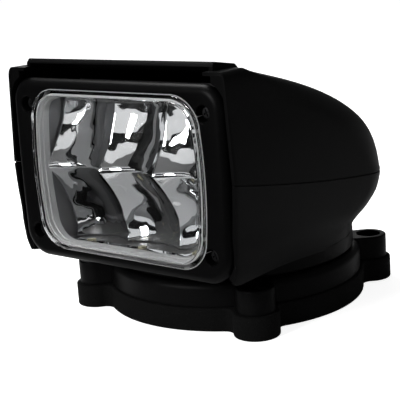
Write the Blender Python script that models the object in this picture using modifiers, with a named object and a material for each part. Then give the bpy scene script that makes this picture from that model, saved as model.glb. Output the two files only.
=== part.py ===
# Marine searchlight: a round base on a foam gasket, a head that pans on it and a lamp that tilts in the head.
# Metres, +Z up. The lens faces -Y and the origin is on the pan axis at the underside of the gasket.

import math

import bmesh
import bpy
from mathutils import Matrix, Vector

# Gap between pieces that touch on the real object
GAP = 0.0003
# Sides of the post and of the rings that turn on it
ROUND_SIDES = 24

# Through cutters run this far past what they cut
REACH = 0.2

# Base
SHELL_WIDTH = 0.168
GASKET_HEIGHT = 0.0148
DRUM_RADIUS = SHELL_WIDTH / 2 - 0.0007
GASKET_RADIUS = DRUM_RADIUS + 0.0019
GASKET_EAR_RADIUS = 0.0141
GASKET_BLEND = 0.006
EAR_SPACING = (DRUM_RADIUS + 0.008624) * math.sqrt(2)
EAR_RADIUS = 0.0116
EAR_BEVEL = 0.0009
EAR_ROOT = DRUM_RADIUS - 0.0153
DRUM_TOP = GASKET_HEIGHT + 0.0149
DRUM_ROUNDING = 0.0044
DRUM_WALL = 0.0032
MOUNT_HOLE_RADIUS = 0.00275
COUNTERBORE_RADIUS = 0.0078
COUNTERBORE_DEPTH = 0.0105
COVER_THICKNESS = 0.003
COVER_SCREW_CIRCLE = DRUM_RADIUS - 0.0213
GLAND_OFFSET = DRUM_RADIUS - 0.0413
GLAND_RADIUS = 0.0085
GLAND_BORE = 0.0042
POST_RADIUS = 0.014
POST_BORE = 0.009
POST_TOP = DRUM_TOP + 0.0288

# Pan bearing and gear train
BUSH_WALL = 0.0027
HUB_WALL = 0.0038
WASHER_THICKNESS = 0.0027
GEAR_MODULE = 0.00125
PAN_GEAR_TEETH = 36
PINION_TEETH = 12
PAN_GEAR_WIDTH = 0.006
PAN_GEAR_DROP = 0.012
GEAR_NUT_HEIGHT = 0.0045
GEAR_BACKLASH = 0.00035
PRESSURE_ANGLE = math.radians(20)

# Head shells
SHELL_WALL = 0.002
SHELL_FRONT = -(DRUM_RADIUS + 0.0237)
SHELL_REAR = DRUM_RADIUS + 0.0037
SHELL_BOW = 0.004
CORNER_STEPS = 6
PARTING_RISE = 0.0265
PARTING_GAP = 0.0011
FLOOR_BOTTOM = DRUM_TOP + 0.0113
FLOOR_THICKNESS = 0.0025
CHEEK_BOTTOM = FLOOR_BOTTOM + 0.0015
CHEEK_LIFT = 0.0025
CHEEK_RAKE = 0.0015
NECK_BOTTOM = FLOOR_BOTTOM - 0.0035
TURNTABLE_RADIUS = DRUM_RADIUS - 0.0043
TURNTABLE_BOTTOM = DRUM_TOP + 0.0006
TURNTABLE_WALL = 0.005
BOSS_RADIUS = 0.0042
BOSS_X = SHELL_WIDTH / 2 - 0.022
BOSS_SPLIT = POST_TOP - 0.0005

# Lamp
BEZEL_FRONT = SHELL_FRONT - 0.0015
BEZEL_DEPTH = 0.0125
BEZEL_HALF_WIDTH = SHELL_WIDTH / 2 - 0.0016
BEZEL_HALF_HEIGHT = 0.056
BEZEL_CORNER = 0.0145
BEZEL_LOW_CORNER = 0.0175
BEZEL_ROUNDING = 0.005
BEZEL_BULGE = 0.001
BEZEL_DRAFT = 0.003
BEZEL_Z = CHEEK_BOTTOM + BEZEL_HALF_HEIGHT + 0.0001
TILT_Y = BEZEL_FRONT + 0.0205
TILT_Z = BEZEL_Z + 0.0014
LENS_Z = BEZEL_Z + 0.0003
LENS_FRONT = BEZEL_FRONT - 0.0018
LENS_HALF_WIDTH = BEZEL_HALF_WIDTH - 0.0146
LENS_HALF_HEIGHT = BEZEL_HALF_HEIGHT - 0.0066
LENS_CORNER = 0.0195
LENS_BULGE = 0.0045
LENS_WALL = 0.0026
LENS_FLANGE = 0.002
REBATE_DEPTH = 0.005
REFLECTOR_HALF_WIDTH = LENS_HALF_WIDTH - 0.0048
REFLECTOR_HALF_HEIGHT = LENS_HALF_HEIGHT - 0.0038
REFLECTOR_VERTEX = BEZEL_FRONT + 0.0355
REFLECTOR_FRONT = BEZEL_FRONT + 0.004
REFLECTOR_WALL = 0.0018
FOCAL_LENGTH = 0.0155
BOARD_THICKNESS = 0.0012
BOARD_HALF_WIDTH = REFLECTOR_HALF_WIDTH - 0.0061
EMITTER_SIZE = 0.0036
TRAY_BACK = BEZEL_FRONT + 0.0415
TRAY_WALL = 0.0026
TRAY_SIDE_ROOM = 0.0013
TRAY_ROOM = 0.0019
TRAY_FLANGE_DEPTH = 0.0034
TRAY_FLANGE_HALF_WIDTH = BEZEL_HALF_WIDTH - 0.0095
TRAY_FLANGE_HALF_HEIGHT = BEZEL_HALF_HEIGHT - 0.0043
FIN_COUNT = 9
FIN_DEPTH = 0.0045
FIN_THICKNESS = 0.002
SINK_PLATE = 0.0015
SINK_HALF_WIDTH = REFLECTOR_HALF_WIDTH - 0.0121
SINK_HALF_HEIGHT = REFLECTOR_HALF_HEIGHT - 0.009
SCREW_X = BEZEL_HALF_WIDTH - 0.0134
SCREW_RISE = BEZEL_HALF_HEIGHT - 0.0161
SCREW_HEAD_RADIUS = 0.0036
SCREW_HEAD_HEIGHT = 0.0022
SCREW_SHANK_RADIUS = 0.0018
RECESS_RADIUS = 0.0047
RECESS_DEPTH = 0.0065

# Heights and depths of the shells that follow the lamp
SHELL_TOP = BEZEL_Z + BEZEL_HALF_HEIGHT + 0.0064
PARTING_REAR = TILT_Z - 0.0255
FLOOR_FRONT = BEZEL_FRONT + 0.0325
HOOD_HALF_WIDTH = SHELL_WIDTH / 2 - 0.0112
HOOD_TOP = SHELL_TOP + 0.0048
HOOD_FRONT = SHELL_FRONT + 0.0055
HOOD_REAR = HOOD_FRONT + 0.022
HOOD_FALL = 0.003
HOOD_WALL = 0.0028
ROOM_REAR = HOOD_REAR + 0.0135
ROOM_HALF_WIDTH = SHELL_WIDTH / 2 - 0.009
ROOM_BOTTOM = SHELL_TOP - 0.021
BOSS_FRONT_Y = TILT_Y + 0.074
BOSS_REAR_Y = SHELL_REAR - 0.055

# Tilt drive
SECTOR_TEETH = 72
SECTOR_HALF_TEETH = 5
SECTOR_WIDTH = 0.003
SECTOR_X = -(REFLECTOR_HALF_WIDTH + 0.0069)
PIN_RADIUS = 0.003
BUSH_RING = 0.0014
TRUNNION_BOSS = 0.006
YOKE_X = REFLECTOR_HALF_WIDTH + 0.0117
YOKE_SHEET = 0.003
YOKE_SCREW_X = YOKE_X - 0.0338
SHAFT_ROOM = 0.0012
MOTOR_RADIUS = 0.012
MOTOR_LENGTH = 0.031
GEARBOX_LENGTH = 0.0145
BRACKET_SHEET = 0.0025
BRACKET_FOOT = 0.016
CONTROL_BOARD_HALF_WIDTH = SHELL_WIDTH / 2 - 0.054
CONTROL_BOARD_THICKNESS = 0.0016
CONTROL_BOARD_HEIGHT = 0.036

EAR_OFFSET = EAR_SPACING / 2
HOUSING_BOTTOM = GASKET_HEIGHT + GAP
FLOOR_TOP = FLOOR_BOTTOM + FLOOR_THICKNESS
DECK = FLOOR_TOP + GAP
PAN_BRACKET_TOP = POST_TOP - 0.001
TILT_WALL_X = SECTOR_X + SECTOR_WIDTH / 2 + 0.0038
SCREW_PLACES = [(-SCREW_X, -1), (SCREW_X, -1), (-SCREW_X, 1), (SCREW_X, 1)]


def clear_scene():
    for item in list(bpy.data.objects):
        bpy.data.objects.remove(item, do_unlink=True)


clear_scene()
parts = bpy.data.collections.new("marine_searchlight")
cutters = bpy.data.collections.new("cutters")
bpy.context.scene.collection.children.link(parts)
bpy.context.scene.collection.children.link(cutters)
cutters.hide_render = True


def material(name, color, roughness, metallic=0.0):
    made = bpy.data.materials.new(name)
    made.use_nodes = True
    shader = made.node_tree.nodes["Principled BSDF"]
    shader.inputs["Base Color"].default_value = (*color, 1.0)
    shader.inputs["Roughness"].default_value = roughness
    shader.inputs["Metallic"].default_value = metallic
    made.diffuse_color = (*color, 1.0)
    return made


def axis_empty(name, location, parent=None):
    empty = bpy.data.objects.new(name, None)
    empty.empty_display_size = 0.02
    parts.objects.link(empty)
    if parent:
        empty.parent = parent
        empty.location = Vector(location) - parent.location
    else:
        empty.location = location
    return empty


def finish(bm, name, look=None, location=(0, 0, 0), axis=None, sharp=35):
    """Makes an object of the bmesh. With a look it is a part on its axis, and without one a cutter."""
    bmesh.ops.recalc_face_normals(bm, faces=bm.faces)
    mesh = bpy.data.meshes.new(name)
    bm.to_mesh(mesh)
    bm.free()
    mesh.shade_smooth()
    mesh.set_sharp_from_angle(angle=math.radians(sharp))
    made = bpy.data.objects.new(name, mesh)
    made.location = location
    if look:
        parts.objects.link(made)
        mesh.materials.append(look)
    else:
        cutters.objects.link(made)
        made.hide_render = True
        made.display_type = "WIRE"
    if axis:
        made.parent = axis
        made.matrix_parent_inverse = Matrix.Translation(-world_of(axis))
    return made


def world_of(empty):
    place = Vector(empty.location)
    while empty.parent:
        empty = empty.parent
        place += empty.location
    return place


def solid_boolean(target, tool, operation):
    step = target.modifiers.new(operation.lower(), "BOOLEAN")
    step.operation = operation
    step.object = tool
    step.solver = "EXACT"


def cut(target, *tools):
    for tool in tools:
        solid_boolean(target, tool, "DIFFERENCE")


def join(target, *tools):
    for tool in tools:
        solid_boolean(target, tool, "UNION")


def cylinder(name, radius, start, end, centre, direction="Z", look=None, axis=None, sides=24):
    """A round bar from start to end along X, Y or Z through the centre."""
    bm = bmesh.new()
    bmesh.ops.create_cone(bm, cap_ends=True, segments=sides, radius1=radius, radius2=radius, depth=end - start)
    if direction == "X":
        bmesh.ops.rotate(bm, verts=bm.verts, matrix=Matrix.Rotation(math.pi / 2, 3, "Y"))
    if direction == "Y":
        bmesh.ops.rotate(bm, verts=bm.verts, matrix=Matrix.Rotation(-math.pi / 2, 3, "X"))
    middle = (start + end) / 2
    place = {
        "X": (middle, centre[0], centre[1]),
        "Y": (centre[0], middle, centre[1]),
        "Z": (centre[0], centre[1], middle),
    }[direction]
    return finish(bm, name, look, place, axis)


def box(name, low, high, look=None, axis=None):
    bm = bmesh.new()
    bmesh.ops.create_cube(bm, size=1.0)
    size = Vector(high) - Vector(low)
    bmesh.ops.scale(bm, vec=size, verts=bm.verts)
    return finish(bm, name, look, (Vector(low) + Vector(high)) / 2, axis)


def turned(name, profile, look=None, axis=None, sides=40, location=(0, 0, 0)):
    """A ring turned about Z from a closed outline of (radius, height) points."""
    bm = bmesh.new()
    corners = [bm.verts.new((radius, 0, height)) for radius, height in profile]
    for i, corner in enumerate(corners):
        bm.edges.new((corner, corners[(i + 1) % len(corners)]))
    made = finish(bm, name, look, location, axis)
    sweep = made.modifiers.new("turn", "SCREW")
    sweep.steps = sides
    sweep.render_steps = sides
    sweep.use_merge_vertices = True
    sweep.merge_threshold = 0.00001
    sweep.use_normal_calculate = True
    sweep.use_normal_flip = signed_area(profile) > 0
    return made


def signed_area(outline):
    total = 0.0
    for i, (u, v) in enumerate(outline):
        next_u, next_v = outline[(i + 1) % len(outline)]
        total += u * next_v - next_u * v
    return total / 2


def prism(name, outline, start, end, along="Z", look=None, axis=None):
    """An outline extruded along X, where it holds (y, z), along Y, (x, z), or along Z, (x, y)."""
    put = {
        "X": lambda u, v, w: (w, u, v),
        "Y": lambda u, v, w: (u, w, v),
        "Z": lambda u, v, w: (u, v, w),
    }[along]
    bm = bmesh.new()
    face = bm.faces.new([bm.verts.new(put(u, v, start)) for u, v in outline])
    moved = bmesh.ops.extrude_face_region(bm, geom=[face])["geom"]
    shift = Vector(put(0, 0, end - start))
    bmesh.ops.translate(bm, vec=shift, verts=[item for item in moved if isinstance(item, bmesh.types.BMVert)])
    return finish(bm, name, look, axis=axis)


def loft(name, rings, look=None, axis=None, looped=False, sharp=35):
    """A skin through rings of points. The ends are capped, or joined to each other when looped."""
    bm = bmesh.new()
    rows = [[bm.verts.new(point) for point in ring] for ring in rings]
    pairs = list(zip(rows, rows[1:]))
    if looped:
        pairs.append((rows[-1], rows[0]))
    for first, second in pairs:
        count = len(first)
        for i in range(count):
            bm.faces.new((first[i], first[(i + 1) % count], second[(i + 1) % count], second[i]))
    if not looped:
        bm.faces.new(rows[0])
        bm.faces.new(rows[-1])
    return finish(bm, name, look, axis=axis, sharp=sharp)


def arc(centre_u, centre_v, radius, begin, finish_angle, steps):
    points = []
    for i in range(steps + 1):
        angle = begin + (finish_angle - begin) * i / steps
        points.append((centre_u + radius * math.cos(angle), centre_v + radius * math.sin(angle)))
    return points


def barrel(half_width, half_height, corner, bulge, low_corner=None, corner_steps=5, side_steps=2):
    """A rectangle with round corners and bowed sides, anticlockwise from the middle of its right side."""

    def side(height):
        return half_width - bulge * (height / half_height) ** 2

    def quarter(radius):
        straight = half_height - radius
        points = [(side(straight * i / side_steps), straight * i / side_steps) for i in range(side_steps)]
        return points + arc(side(straight) - radius, straight, radius, 0, math.pi / 2, corner_steps)

    upper = quarter(corner)
    lower = [(u, -v) for u, v in quarter(low_corner or corner)]
    left_lower = [(-u, v) for u, v in lower[1:]]
    return upper + [(-u, v) for u, v in reversed(upper)] + left_lower + list(reversed(lower[1:]))


def face_ring(shape, y, inset, centre_z, corner_steps=5, side_steps=2):
    """A barrel outline, drawn in by the inset, at one depth of the lamp."""
    half_width, half_height, corner, bulge, *low_corner = shape
    low_corner = max((low_corner or [corner])[0] - inset, 0.002)
    corner = max(corner - inset, 0.002)
    width = half_width - inset
    height = half_height - inset
    outline = barrel(width, height, corner, bulge, low_corner, corner_steps, side_steps)
    return [Vector((u, y, v + centre_z)) for u, v in outline]


# Materials
black_plastic = material("black_plastic", (0.012, 0.012, 0.013), 0.55)
bezel_plastic = material("bezel_plastic", (0.012, 0.012, 0.013), 0.5)
black_foam = material("black_foam", (0.006, 0.006, 0.006), 0.95)
seal_rubber = material("seal_rubber", (0.01, 0.01, 0.01), 0.8)
white_acetal = material("white_acetal", (0.75, 0.75, 0.72), 0.4)
gear_acetal = material("gear_acetal", (0.7, 0.68, 0.62), 0.45)
clear_plastic = material("clear_plastic", (0.8, 0.82, 0.84), 0.05)
chrome = material("chrome", (0.8, 0.8, 0.8), 0.08, 1.0)
cast_aluminium = material("cast_aluminium", (0.45, 0.45, 0.46), 0.4, 1.0)
stainless = material("stainless", (0.55, 0.55, 0.56), 0.3, 1.0)
sheet_steel = material("sheet_steel", (0.5, 0.5, 0.51), 0.35, 1.0)
motor_steel = material("motor_steel", (0.4, 0.4, 0.41), 0.3, 1.0)
board_green = material("board_green", (0.02, 0.14, 0.06), 0.5)
board_white = material("board_white", (0.7, 0.7, 0.7), 0.5)
emitter_yellow = material("emitter_yellow", (0.8, 0.65, 0.12), 0.4)
gland_nylon = material("gland_nylon", (0.02, 0.02, 0.02), 0.5)

# Joint axes
pan_axis = axis_empty("pan_axis", (0, 0, 0))
tilt_axis = axis_empty("tilt_axis", (0, TILT_Y, TILT_Z), pan_axis)
pan_centres = GEAR_MODULE * (PAN_GEAR_TEETH + PINION_TEETH) / 2
tilt_centres = GEAR_MODULE * (SECTOR_TEETH + PINION_TEETH) / 2
pan_pinion_axis = axis_empty("pan_pinion_axis", (0, pan_centres, 0), pan_axis)
tilt_pinion_axis = axis_empty("tilt_pinion_axis", (0, TILT_Y + tilt_centres, TILT_Z), pan_axis)


# Base

def eared_outline(disc, ear, blend):
    """A disc with four round ears, each met by small inside blends."""
    reach = EAR_OFFSET * math.sqrt(2)
    to_blend = disc + blend
    turn = math.acos((to_blend**2 + reach**2 - (ear + blend) ** 2) / (2 * to_blend * reach))
    outline = []
    for quarter in range(4):
        middle = math.pi / 4 + quarter * math.pi / 2
        ear_u = reach * math.cos(middle)
        ear_v = reach * math.sin(middle)
        first_u = to_blend * math.cos(middle - turn)
        first_v = to_blend * math.sin(middle - turn)
        swing = math.atan2(first_v - ear_v, first_u - ear_u) - middle
        swing = abs((swing + math.pi) % (2 * math.pi) - math.pi)
        inward = math.pi + middle
        outline += arc(0, 0, disc, middle - math.pi / 2 + turn, middle - turn, 5)[1:]
        outline += arc(first_u, first_v, blend, inward - turn, inward - swing, 2)[1:]
        outline += arc(ear_u, ear_v, ear, middle - swing, middle + swing, 7)[1:]
        last_u = to_blend * math.cos(middle + turn)
        last_v = to_blend * math.sin(middle + turn)
        outline += arc(last_u, last_v, blend, inward + swing, inward + turn, 2)[1:]
    return outline


def ear_places():
    return [(x, y) for x in (-EAR_OFFSET, EAR_OFFSET) for y in (-EAR_OFFSET, EAR_OFFSET)]


def ear_outline(place, reach, steps):
    """A tongue from well inside the drum to a half circle round one mounting hole."""
    x, y = place
    outward = math.atan2(y, x)
    outline = arc(x, y, reach, outward - math.pi / 2, outward + math.pi / 2, steps)
    root = EAR_ROOT / math.hypot(x, y)
    return outline + arc(x * root, y * root, reach, outward + math.pi / 2, outward + 1.5 * math.pi, 1)


def cover_screw_places():
    turns = [i * math.pi / 2 for i in range(4)]
    return [(COVER_SCREW_CIRCLE * math.cos(turn), COVER_SCREW_CIRCLE * math.sin(turn)) for turn in turns]


def make_gasket():
    outline = eared_outline(GASKET_RADIUS, GASKET_EAR_RADIUS, GASKET_BLEND)
    gasket = prism("mounting_gasket", outline, 0, GASKET_HEIGHT, "Z", black_foam)
    clear = GLAND_RADIUS * 1.45
    cut(gasket, cylinder("gland_clearance", clear, -REACH, REACH, (0, GLAND_OFFSET), sides=20))
    for i, place in enumerate(ear_places()):
        cut(gasket, cylinder(f"gasket_hole_{i + 1}", MOUNT_HOLE_RADIUS, -REACH, REACH, place, sides=8))


def make_base_housing():
    shoulder = DRUM_TOP - DRUM_ROUNDING
    inner = DRUM_RADIUS - DRUM_WALL
    ceiling = DRUM_TOP - DRUM_WALL
    above_cover = HOUSING_BOTTOM + COVER_THICKNESS + 2 * GAP
    in_post = (POST_BORE + POST_RADIUS) / 2
    profile = [(in_post, ceiling), (inner, ceiling), (inner, HOUSING_BOTTOM), (DRUM_RADIUS, HOUSING_BOTTOM)]
    profile += arc(DRUM_RADIUS - DRUM_ROUNDING, shoulder, DRUM_ROUNDING, 0, math.pi / 2, 3)
    profile += [(in_post, DRUM_TOP)]
    housing = turned("base_housing", profile, black_plastic)
    profile = [(POST_BORE, above_cover), (POST_RADIUS, above_cover)]
    profile += [(POST_RADIUS, POST_TOP), (POST_BORE, POST_TOP)]
    join(housing, turned("post", profile, sides=ROUND_SIDES))
    for i, place in enumerate(ear_places()):
        rings = []
        for height, reach in ((HOUSING_BOTTOM, EAR_RADIUS), (DRUM_TOP + GAP - EAR_BEVEL, EAR_RADIUS),
                              (DRUM_TOP + GAP, EAR_RADIUS - EAR_BEVEL)):
            rings.append([Vector((x, y, height)) for x, y in ear_outline(place, reach, 7)])
        join(housing, loft(f"ear_boss_{i + 1}", rings))
    for i, place in enumerate(cover_screw_places()):
        join(housing, cylinder(f"cover_boss_{i + 1}", BOSS_RADIUS, above_cover, DRUM_TOP - GAP, place, sides=8))
    for i, place in enumerate(ear_places()):
        floor = DRUM_TOP - COUNTERBORE_DEPTH
        wide = cylinder(f"counterbore_{i + 1}", COUNTERBORE_RADIUS, floor, REACH, place, sides=14)
        hole = cylinder(f"mount_hole_{i + 1}", MOUNT_HOLE_RADIUS, 0.0, REACH, place, sides=8)
        cut(housing, wide, hole)
    for i, place in enumerate(cover_screw_places()):
        cut(housing, cylinder(f"cover_drill_{i + 1}", SCREW_SHANK_RADIUS + GAP, 0.01, ceiling, place, sides=8))


def screw(name, location, head_height, shank, direction, axis=None, look=None):
    """A pan head screw. Its head is at the location and its shank runs down, up or towards +Y."""
    head = SCREW_HEAD_RADIUS
    profile = [(0, head_height), (head * 0.9, head_height), (head, 0)]
    profile += [(SCREW_SHANK_RADIUS, 0), (SCREW_SHANK_RADIUS, -shank), (0, -shank)]
    bm = bmesh.new()
    corners = [bm.verts.new((radius, 0, height)) for radius, height in profile]
    for first, second in zip(corners, corners[1:]):
        bm.edges.new((first, second))
    bmesh.ops.spin(
        bm, geom=bm.verts[:] + bm.edges[:], cent=(0, 0, 0), axis=(0, 0, 1), angle=2 * math.pi, steps=8,
        use_duplicate=False,
    )
    bmesh.ops.remove_doubles(bm, verts=bm.verts, dist=0.00001)
    if direction == "up":
        bmesh.ops.rotate(bm, verts=bm.verts, matrix=Matrix.Rotation(math.pi, 3, "X"))
    if direction == "back":
        bmesh.ops.rotate(bm, verts=bm.verts, matrix=Matrix.Rotation(math.pi / 2, 3, "X"))
    return finish(bm, name, look or stainless, location, axis)


def make_cover():
    bottom = HOUSING_BOTTOM + GAP
    radius = DRUM_RADIUS - DRUM_WALL - GAP
    top = bottom + COVER_THICKNESS
    cover = cylinder("base_cover", radius, bottom, top, (0, 0), look=black_plastic, sides=32)
    cut(cover, cylinder("gland_hole", GLAND_RADIUS + GAP, 0, REACH, (0, GLAND_OFFSET), sides=16))
    for i, place in enumerate(ear_places()):
        cut(cover, prism(f"cover_notch_{i + 1}", ear_outline(place, EAR_RADIUS + 2 * GAP, 3), 0.0, REACH, "Z"))
    for i, (x, y) in enumerate(cover_screw_places()):
        sink = bottom + COVER_THICKNESS / 2
        cut(cover, cylinder(f"cover_clear_{i + 1}", SCREW_SHANK_RADIUS + GAP, 0, REACH, (x, y), sides=8))
        cut(cover, cylinder(f"cover_sink_{i + 1}", SCREW_HEAD_RADIUS + GAP * 2, 0, sink, (x, y), sides=8))
        screw(f"cover_screw_{i + 1}", (x, y, sink - GAP), COVER_THICKNESS * 0.4, COVER_THICKNESS * 2, "up")


def make_gland():
    cover_bottom = HOUSING_BOTTOM + GAP
    cover_top = cover_bottom + COVER_THICKNESS
    flange = GLAND_RADIUS * 1.3
    nut_top = cover_top + GAP + COVER_THICKNESS
    profile = [(GLAND_BORE, nut_top + GAP * 2), (GLAND_BORE, cover_bottom - 0.0115)]
    profile += [(GLAND_BORE * 1.5, cover_bottom - 0.0115), (GLAND_RADIUS, cover_bottom - 0.008)]
    profile += [(GLAND_RADIUS, cover_bottom - 0.0045), (flange, cover_bottom - 0.0045)]
    profile += [(flange, cover_bottom - GAP), (GLAND_RADIUS, cover_bottom - GAP)]
    profile += [(GLAND_RADIUS, nut_top + GAP * 2)]
    turned("cable_gland", profile, gland_nylon, sides=12, location=(0, GLAND_OFFSET, 0))
    nut = cylinder("gland_nut", flange, cover_top + GAP, nut_top, (0, GLAND_OFFSET), look=gland_nylon, sides=6)
    cut(nut, cylinder("gland_nut_bore", GLAND_RADIUS + GAP * 2, 0, REACH, (0, GLAND_OFFSET), sides=16))


# Gears

def gear_radii(teeth):
    pitch = GEAR_MODULE * teeth / 2
    return pitch - 1.25 * GEAR_MODULE, pitch + 0.9 * GEAR_MODULE


def tooth_half_angle(teeth, radius):
    """Half the angle that an involute tooth fills at a radius, less its share of the backlash."""
    pitch = GEAR_MODULE * teeth / 2
    base = pitch * math.cos(PRESSURE_ANGLE)

    def involute(at):
        slope = math.acos(min(1.0, base / at))
        return math.tan(slope) - slope

    thick = math.pi * GEAR_MODULE / 2 - GEAR_BACKLASH
    return thick / (2 * pitch) + involute(pitch) - involute(max(radius, base))


def tooth_points(teeth, middle):
    """One tooth from its root over its flanks and top land to the other root, as (u, v)."""
    root, tip = gear_radii(teeth)
    stations = [root, tip]
    rising = [(radius, middle - tooth_half_angle(teeth, radius)) for radius in stations]
    falling = [(radius, middle + tooth_half_angle(teeth, radius)) for radius in reversed(stations)]
    return [(radius * math.cos(angle), radius * math.sin(angle)) for radius, angle in rising + falling]


def gear_outline(teeth, phase):
    outline = []
    for i in range(teeth):
        outline += tooth_points(teeth, phase + 2 * math.pi * i / teeth)
    return outline


def make_pan_gear():
    hub_top = POST_TOP - PAN_GEAR_DROP
    # A tooth of the fixed gear points at the pinion, which meets it with a space
    gear = prism("pan_gear", gear_outline(PAN_GEAR_TEETH, math.pi / 2), hub_top, hub_top + PAN_GEAR_WIDTH,
                 "Z", gear_acetal)
    cut(gear, cylinder("pan_gear_bore", POST_RADIUS + GAP, 0, REACH, (0, 0), sides=ROUND_SIDES))
    nut_bottom = hub_top + PAN_GEAR_WIDTH + GAP
    nut_top = nut_bottom + GEAR_NUT_HEIGHT
    nut = cylinder("gear_nut", POST_RADIUS * 1.35, nut_bottom, nut_top, (0, 0), look=stainless, sides=6)
    cut(nut, cylinder("gear_nut_bore", POST_RADIUS + GAP, 0, REACH, (0, 0), sides=ROUND_SIDES))
    space = math.pi / PINION_TEETH
    outline = [(u, v + pan_centres) for u, v in gear_outline(PINION_TEETH, -math.pi / 2 + space)]
    pinion = prism("pan_pinion", outline, hub_top, hub_top + PAN_GEAR_WIDTH, "Z", stainless, pan_pinion_axis)
    shaft_start = hub_top + PAN_GEAR_WIDTH / 2
    join(pinion, cylinder("pan_shaft", PIN_RADIUS, shaft_start, PAN_BRACKET_TOP, (0, pan_centres), sides=12))


def make_bearings():
    inner = POST_RADIUS + GAP
    outer = inner + BUSH_WALL
    washer_top = DRUM_TOP + GAP + WASHER_THICKNESS
    rim = outer + GAP + HUB_WALL
    low = DRUM_TOP + GAP
    profile = [(inner, low), (rim, low), (rim, washer_top), (inner, washer_top)]
    turned("thrust_washer", profile, white_acetal, sides=ROUND_SIDES)
    low = washer_top + GAP
    high = POST_TOP - PAN_GEAR_DROP - GAP
    turned("pan_bush", [(inner, low), (outer, low), (outer, high), (inner, high)], white_acetal, pan_axis,
           ROUND_SIDES)
    seal_outer = TURNTABLE_RADIUS - TURNTABLE_WALL - GAP
    low = DRUM_TOP + GAP
    profile = [(seal_outer - 0.003, low), (seal_outer, low), (seal_outer, low + 0.0035)]
    profile += [(seal_outer - 0.0012, low + 0.0045), (seal_outer - 0.003, low + 0.002)]
    turned("base_seal", profile, seal_rubber, sides=32)


# Head shells

def parting_height(y):
    """Height of the line where the two shells meet: it climbs towards the front."""
    return PARTING_REAR + PARTING_RISE * max(0.0, (SHELL_REAR - y) / (SHELL_REAR - SHELL_FRONT)) ** 1.5


def lower_edge_height(y):
    run = min(1.0, max(0.0, (y - FLOOR_FRONT - 0.006) / 0.09))
    lift = max(0.0, (SHELL_FRONT + 0.009 - y) / 0.009)
    return CHEEK_BOTTOM + (NECK_BOTTOM - CHEEK_BOTTOM) * run * run * (3 - 2 * run) + CHEEK_LIFT * lift * lift


# Where a side wall has its points, as shares of its length behind the front edge
SIDE_STATIONS = (0.0, 0.07, 0.36, 0.68)


def plan_points(half_width, flare, rear, corner, depth=None, crisp=2.0, front=SHELL_FRONT):
    """Half a shell's plan at one level: from its front edge along the side and round the rear corner.

    The corner takes its width off the side and its depth off the back. Below 2, crisp starts it with a crease.
    """
    depth = depth or corner
    corner_y = rear - depth
    points = []
    for station in SIDE_STATIONS:
        points.append((half_width + flare * (1 - station) ** 1.3, front + (corner_y - front) * station))
    for i in range(CORNER_STEPS + 1):
        turn = math.pi / 2 * i / CORNER_STEPS
        across = abs(math.cos(turn)) ** (2 / crisp)
        back = math.sin(turn) ** (2 / crisp)
        points.append((half_width - corner + corner * across, corner_y + depth * back))
    points.append(((half_width - corner) / 2, rear))
    return [(x, y - SHELL_BOW * (x / half_width) ** 2 * max(0.0, y - corner_y) / depth) for x, y in points]


def shell_ring(level, height):
    half = plan_points(*level)
    plan = [(-x, y) for x, y in half] + [(0, level[2])] + list(reversed(half))
    return [Vector((x, y, height(y))) for x, y in plan]


def dome_rear(share):
    """How far back the upper shell reaches at a share of its height."""
    front = SHELL_FRONT + 0.025
    return front + (SHELL_REAR - front) * (1 - share**2.05) ** 0.855


def open_shell(name, rings, look, close_top):
    """An open skin through U-shaped rings, given its wall by a Solidify."""
    bm = bmesh.new()
    rows = [[bm.verts.new(point) for point in ring] for ring in rings]
    for first, second in zip(rows, rows[1:]):
        for i in range(len(first) - 1):
            bm.faces.new((first[i], first[i + 1], second[i + 1], second[i]))
    if close_top:
        last = rows[-1]
        middle = len(last) // 2
        for i in range(middle - 1):
            bm.faces.new((last[i], last[i + 1], last[-2 - i], last[-1 - i]))
        bm.faces.new((last[middle - 1], last[middle], last[middle + 1]))
    made = finish(bm, name, look, axis=pan_axis, sharp=40)
    wall = made.modifiers.new("wall", "SOLIDIFY")
    wall.thickness = SHELL_WALL
    wall.offset = -1
    wall.use_even_offset = True
    return made


# Share of the upper shell's height, then the share of its length that its side wall runs before it turns in
SIDE_REACH = [
    (0.0, 0.7526), (0.2, 0.6753), (0.4, 0.5464), (0.55, 0.3711), (0.66, 0.2423), (0.75, 0.1804), (0.84, 0.134),
    (0.923, 0.0825), (1.0, 0.0284),
]


def side_reach(share):
    for (low, first), (high, last) in zip(SIDE_REACH, SIDE_REACH[1:]):
        if share <= high:
            run = first + (last - first) * (share - low) / (high - low)
            return SHELL_FRONT + (SHELL_REAR - SHELL_FRONT) * run
    return SHELL_FRONT


def dome_level(share):
    """The plan of the upper shell at a share of its height: half width, flare, rear, and the rear corner's
    width, depth and crispness."""
    width = SHELL_WIDTH / 2 - 0.0004 * share - 0.0058 * share**24
    flare = 0.0028 * (1 - share) + 0.0008
    rear = dome_rear(share)
    corner = SHELL_WIDTH * (0.2857 - 0.2024 * share)
    return width, flare, rear, corner, rear - side_reach(share), 2 - 0.55 * share**6


def dome_height(share, y):
    low = parting_height(y) + PARTING_GAP / 2
    return low + (SHELL_TOP - low) * share


def height_under_dome(x, y):
    """Height of the upper shell's outside over a point of the plan, found by halving."""
    low = 0.0
    high = 1.0
    for _ in range(20):
        share = (low + high) / 2
        width, _flare, rear, corner, depth, crisp = dome_level(share)
        over = max(0.0, y - rear + depth) / depth
        within = over < 1 and abs(x) < width - corner + corner * (1 - over**crisp) ** (1 / crisp)
        low, high = (share, high) if within else (low, share)
    return dome_height(low, y)


def make_upper_shell():
    land = 0.03
    rings = [shell_ring(dome_level(0.0), lambda y, share=share: dome_height(share, y)) for share in (0.0, land)]
    for share in (0.17, 0.35, 0.5, 0.62, 0.72, 0.81, 0.89, 0.95, 0.982, 1.0):
        rings.append(shell_ring(dome_level(share), lambda y, share=share: dome_height(share, y)))
    return open_shell("upper_shell", rings, black_plastic, True)


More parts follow.
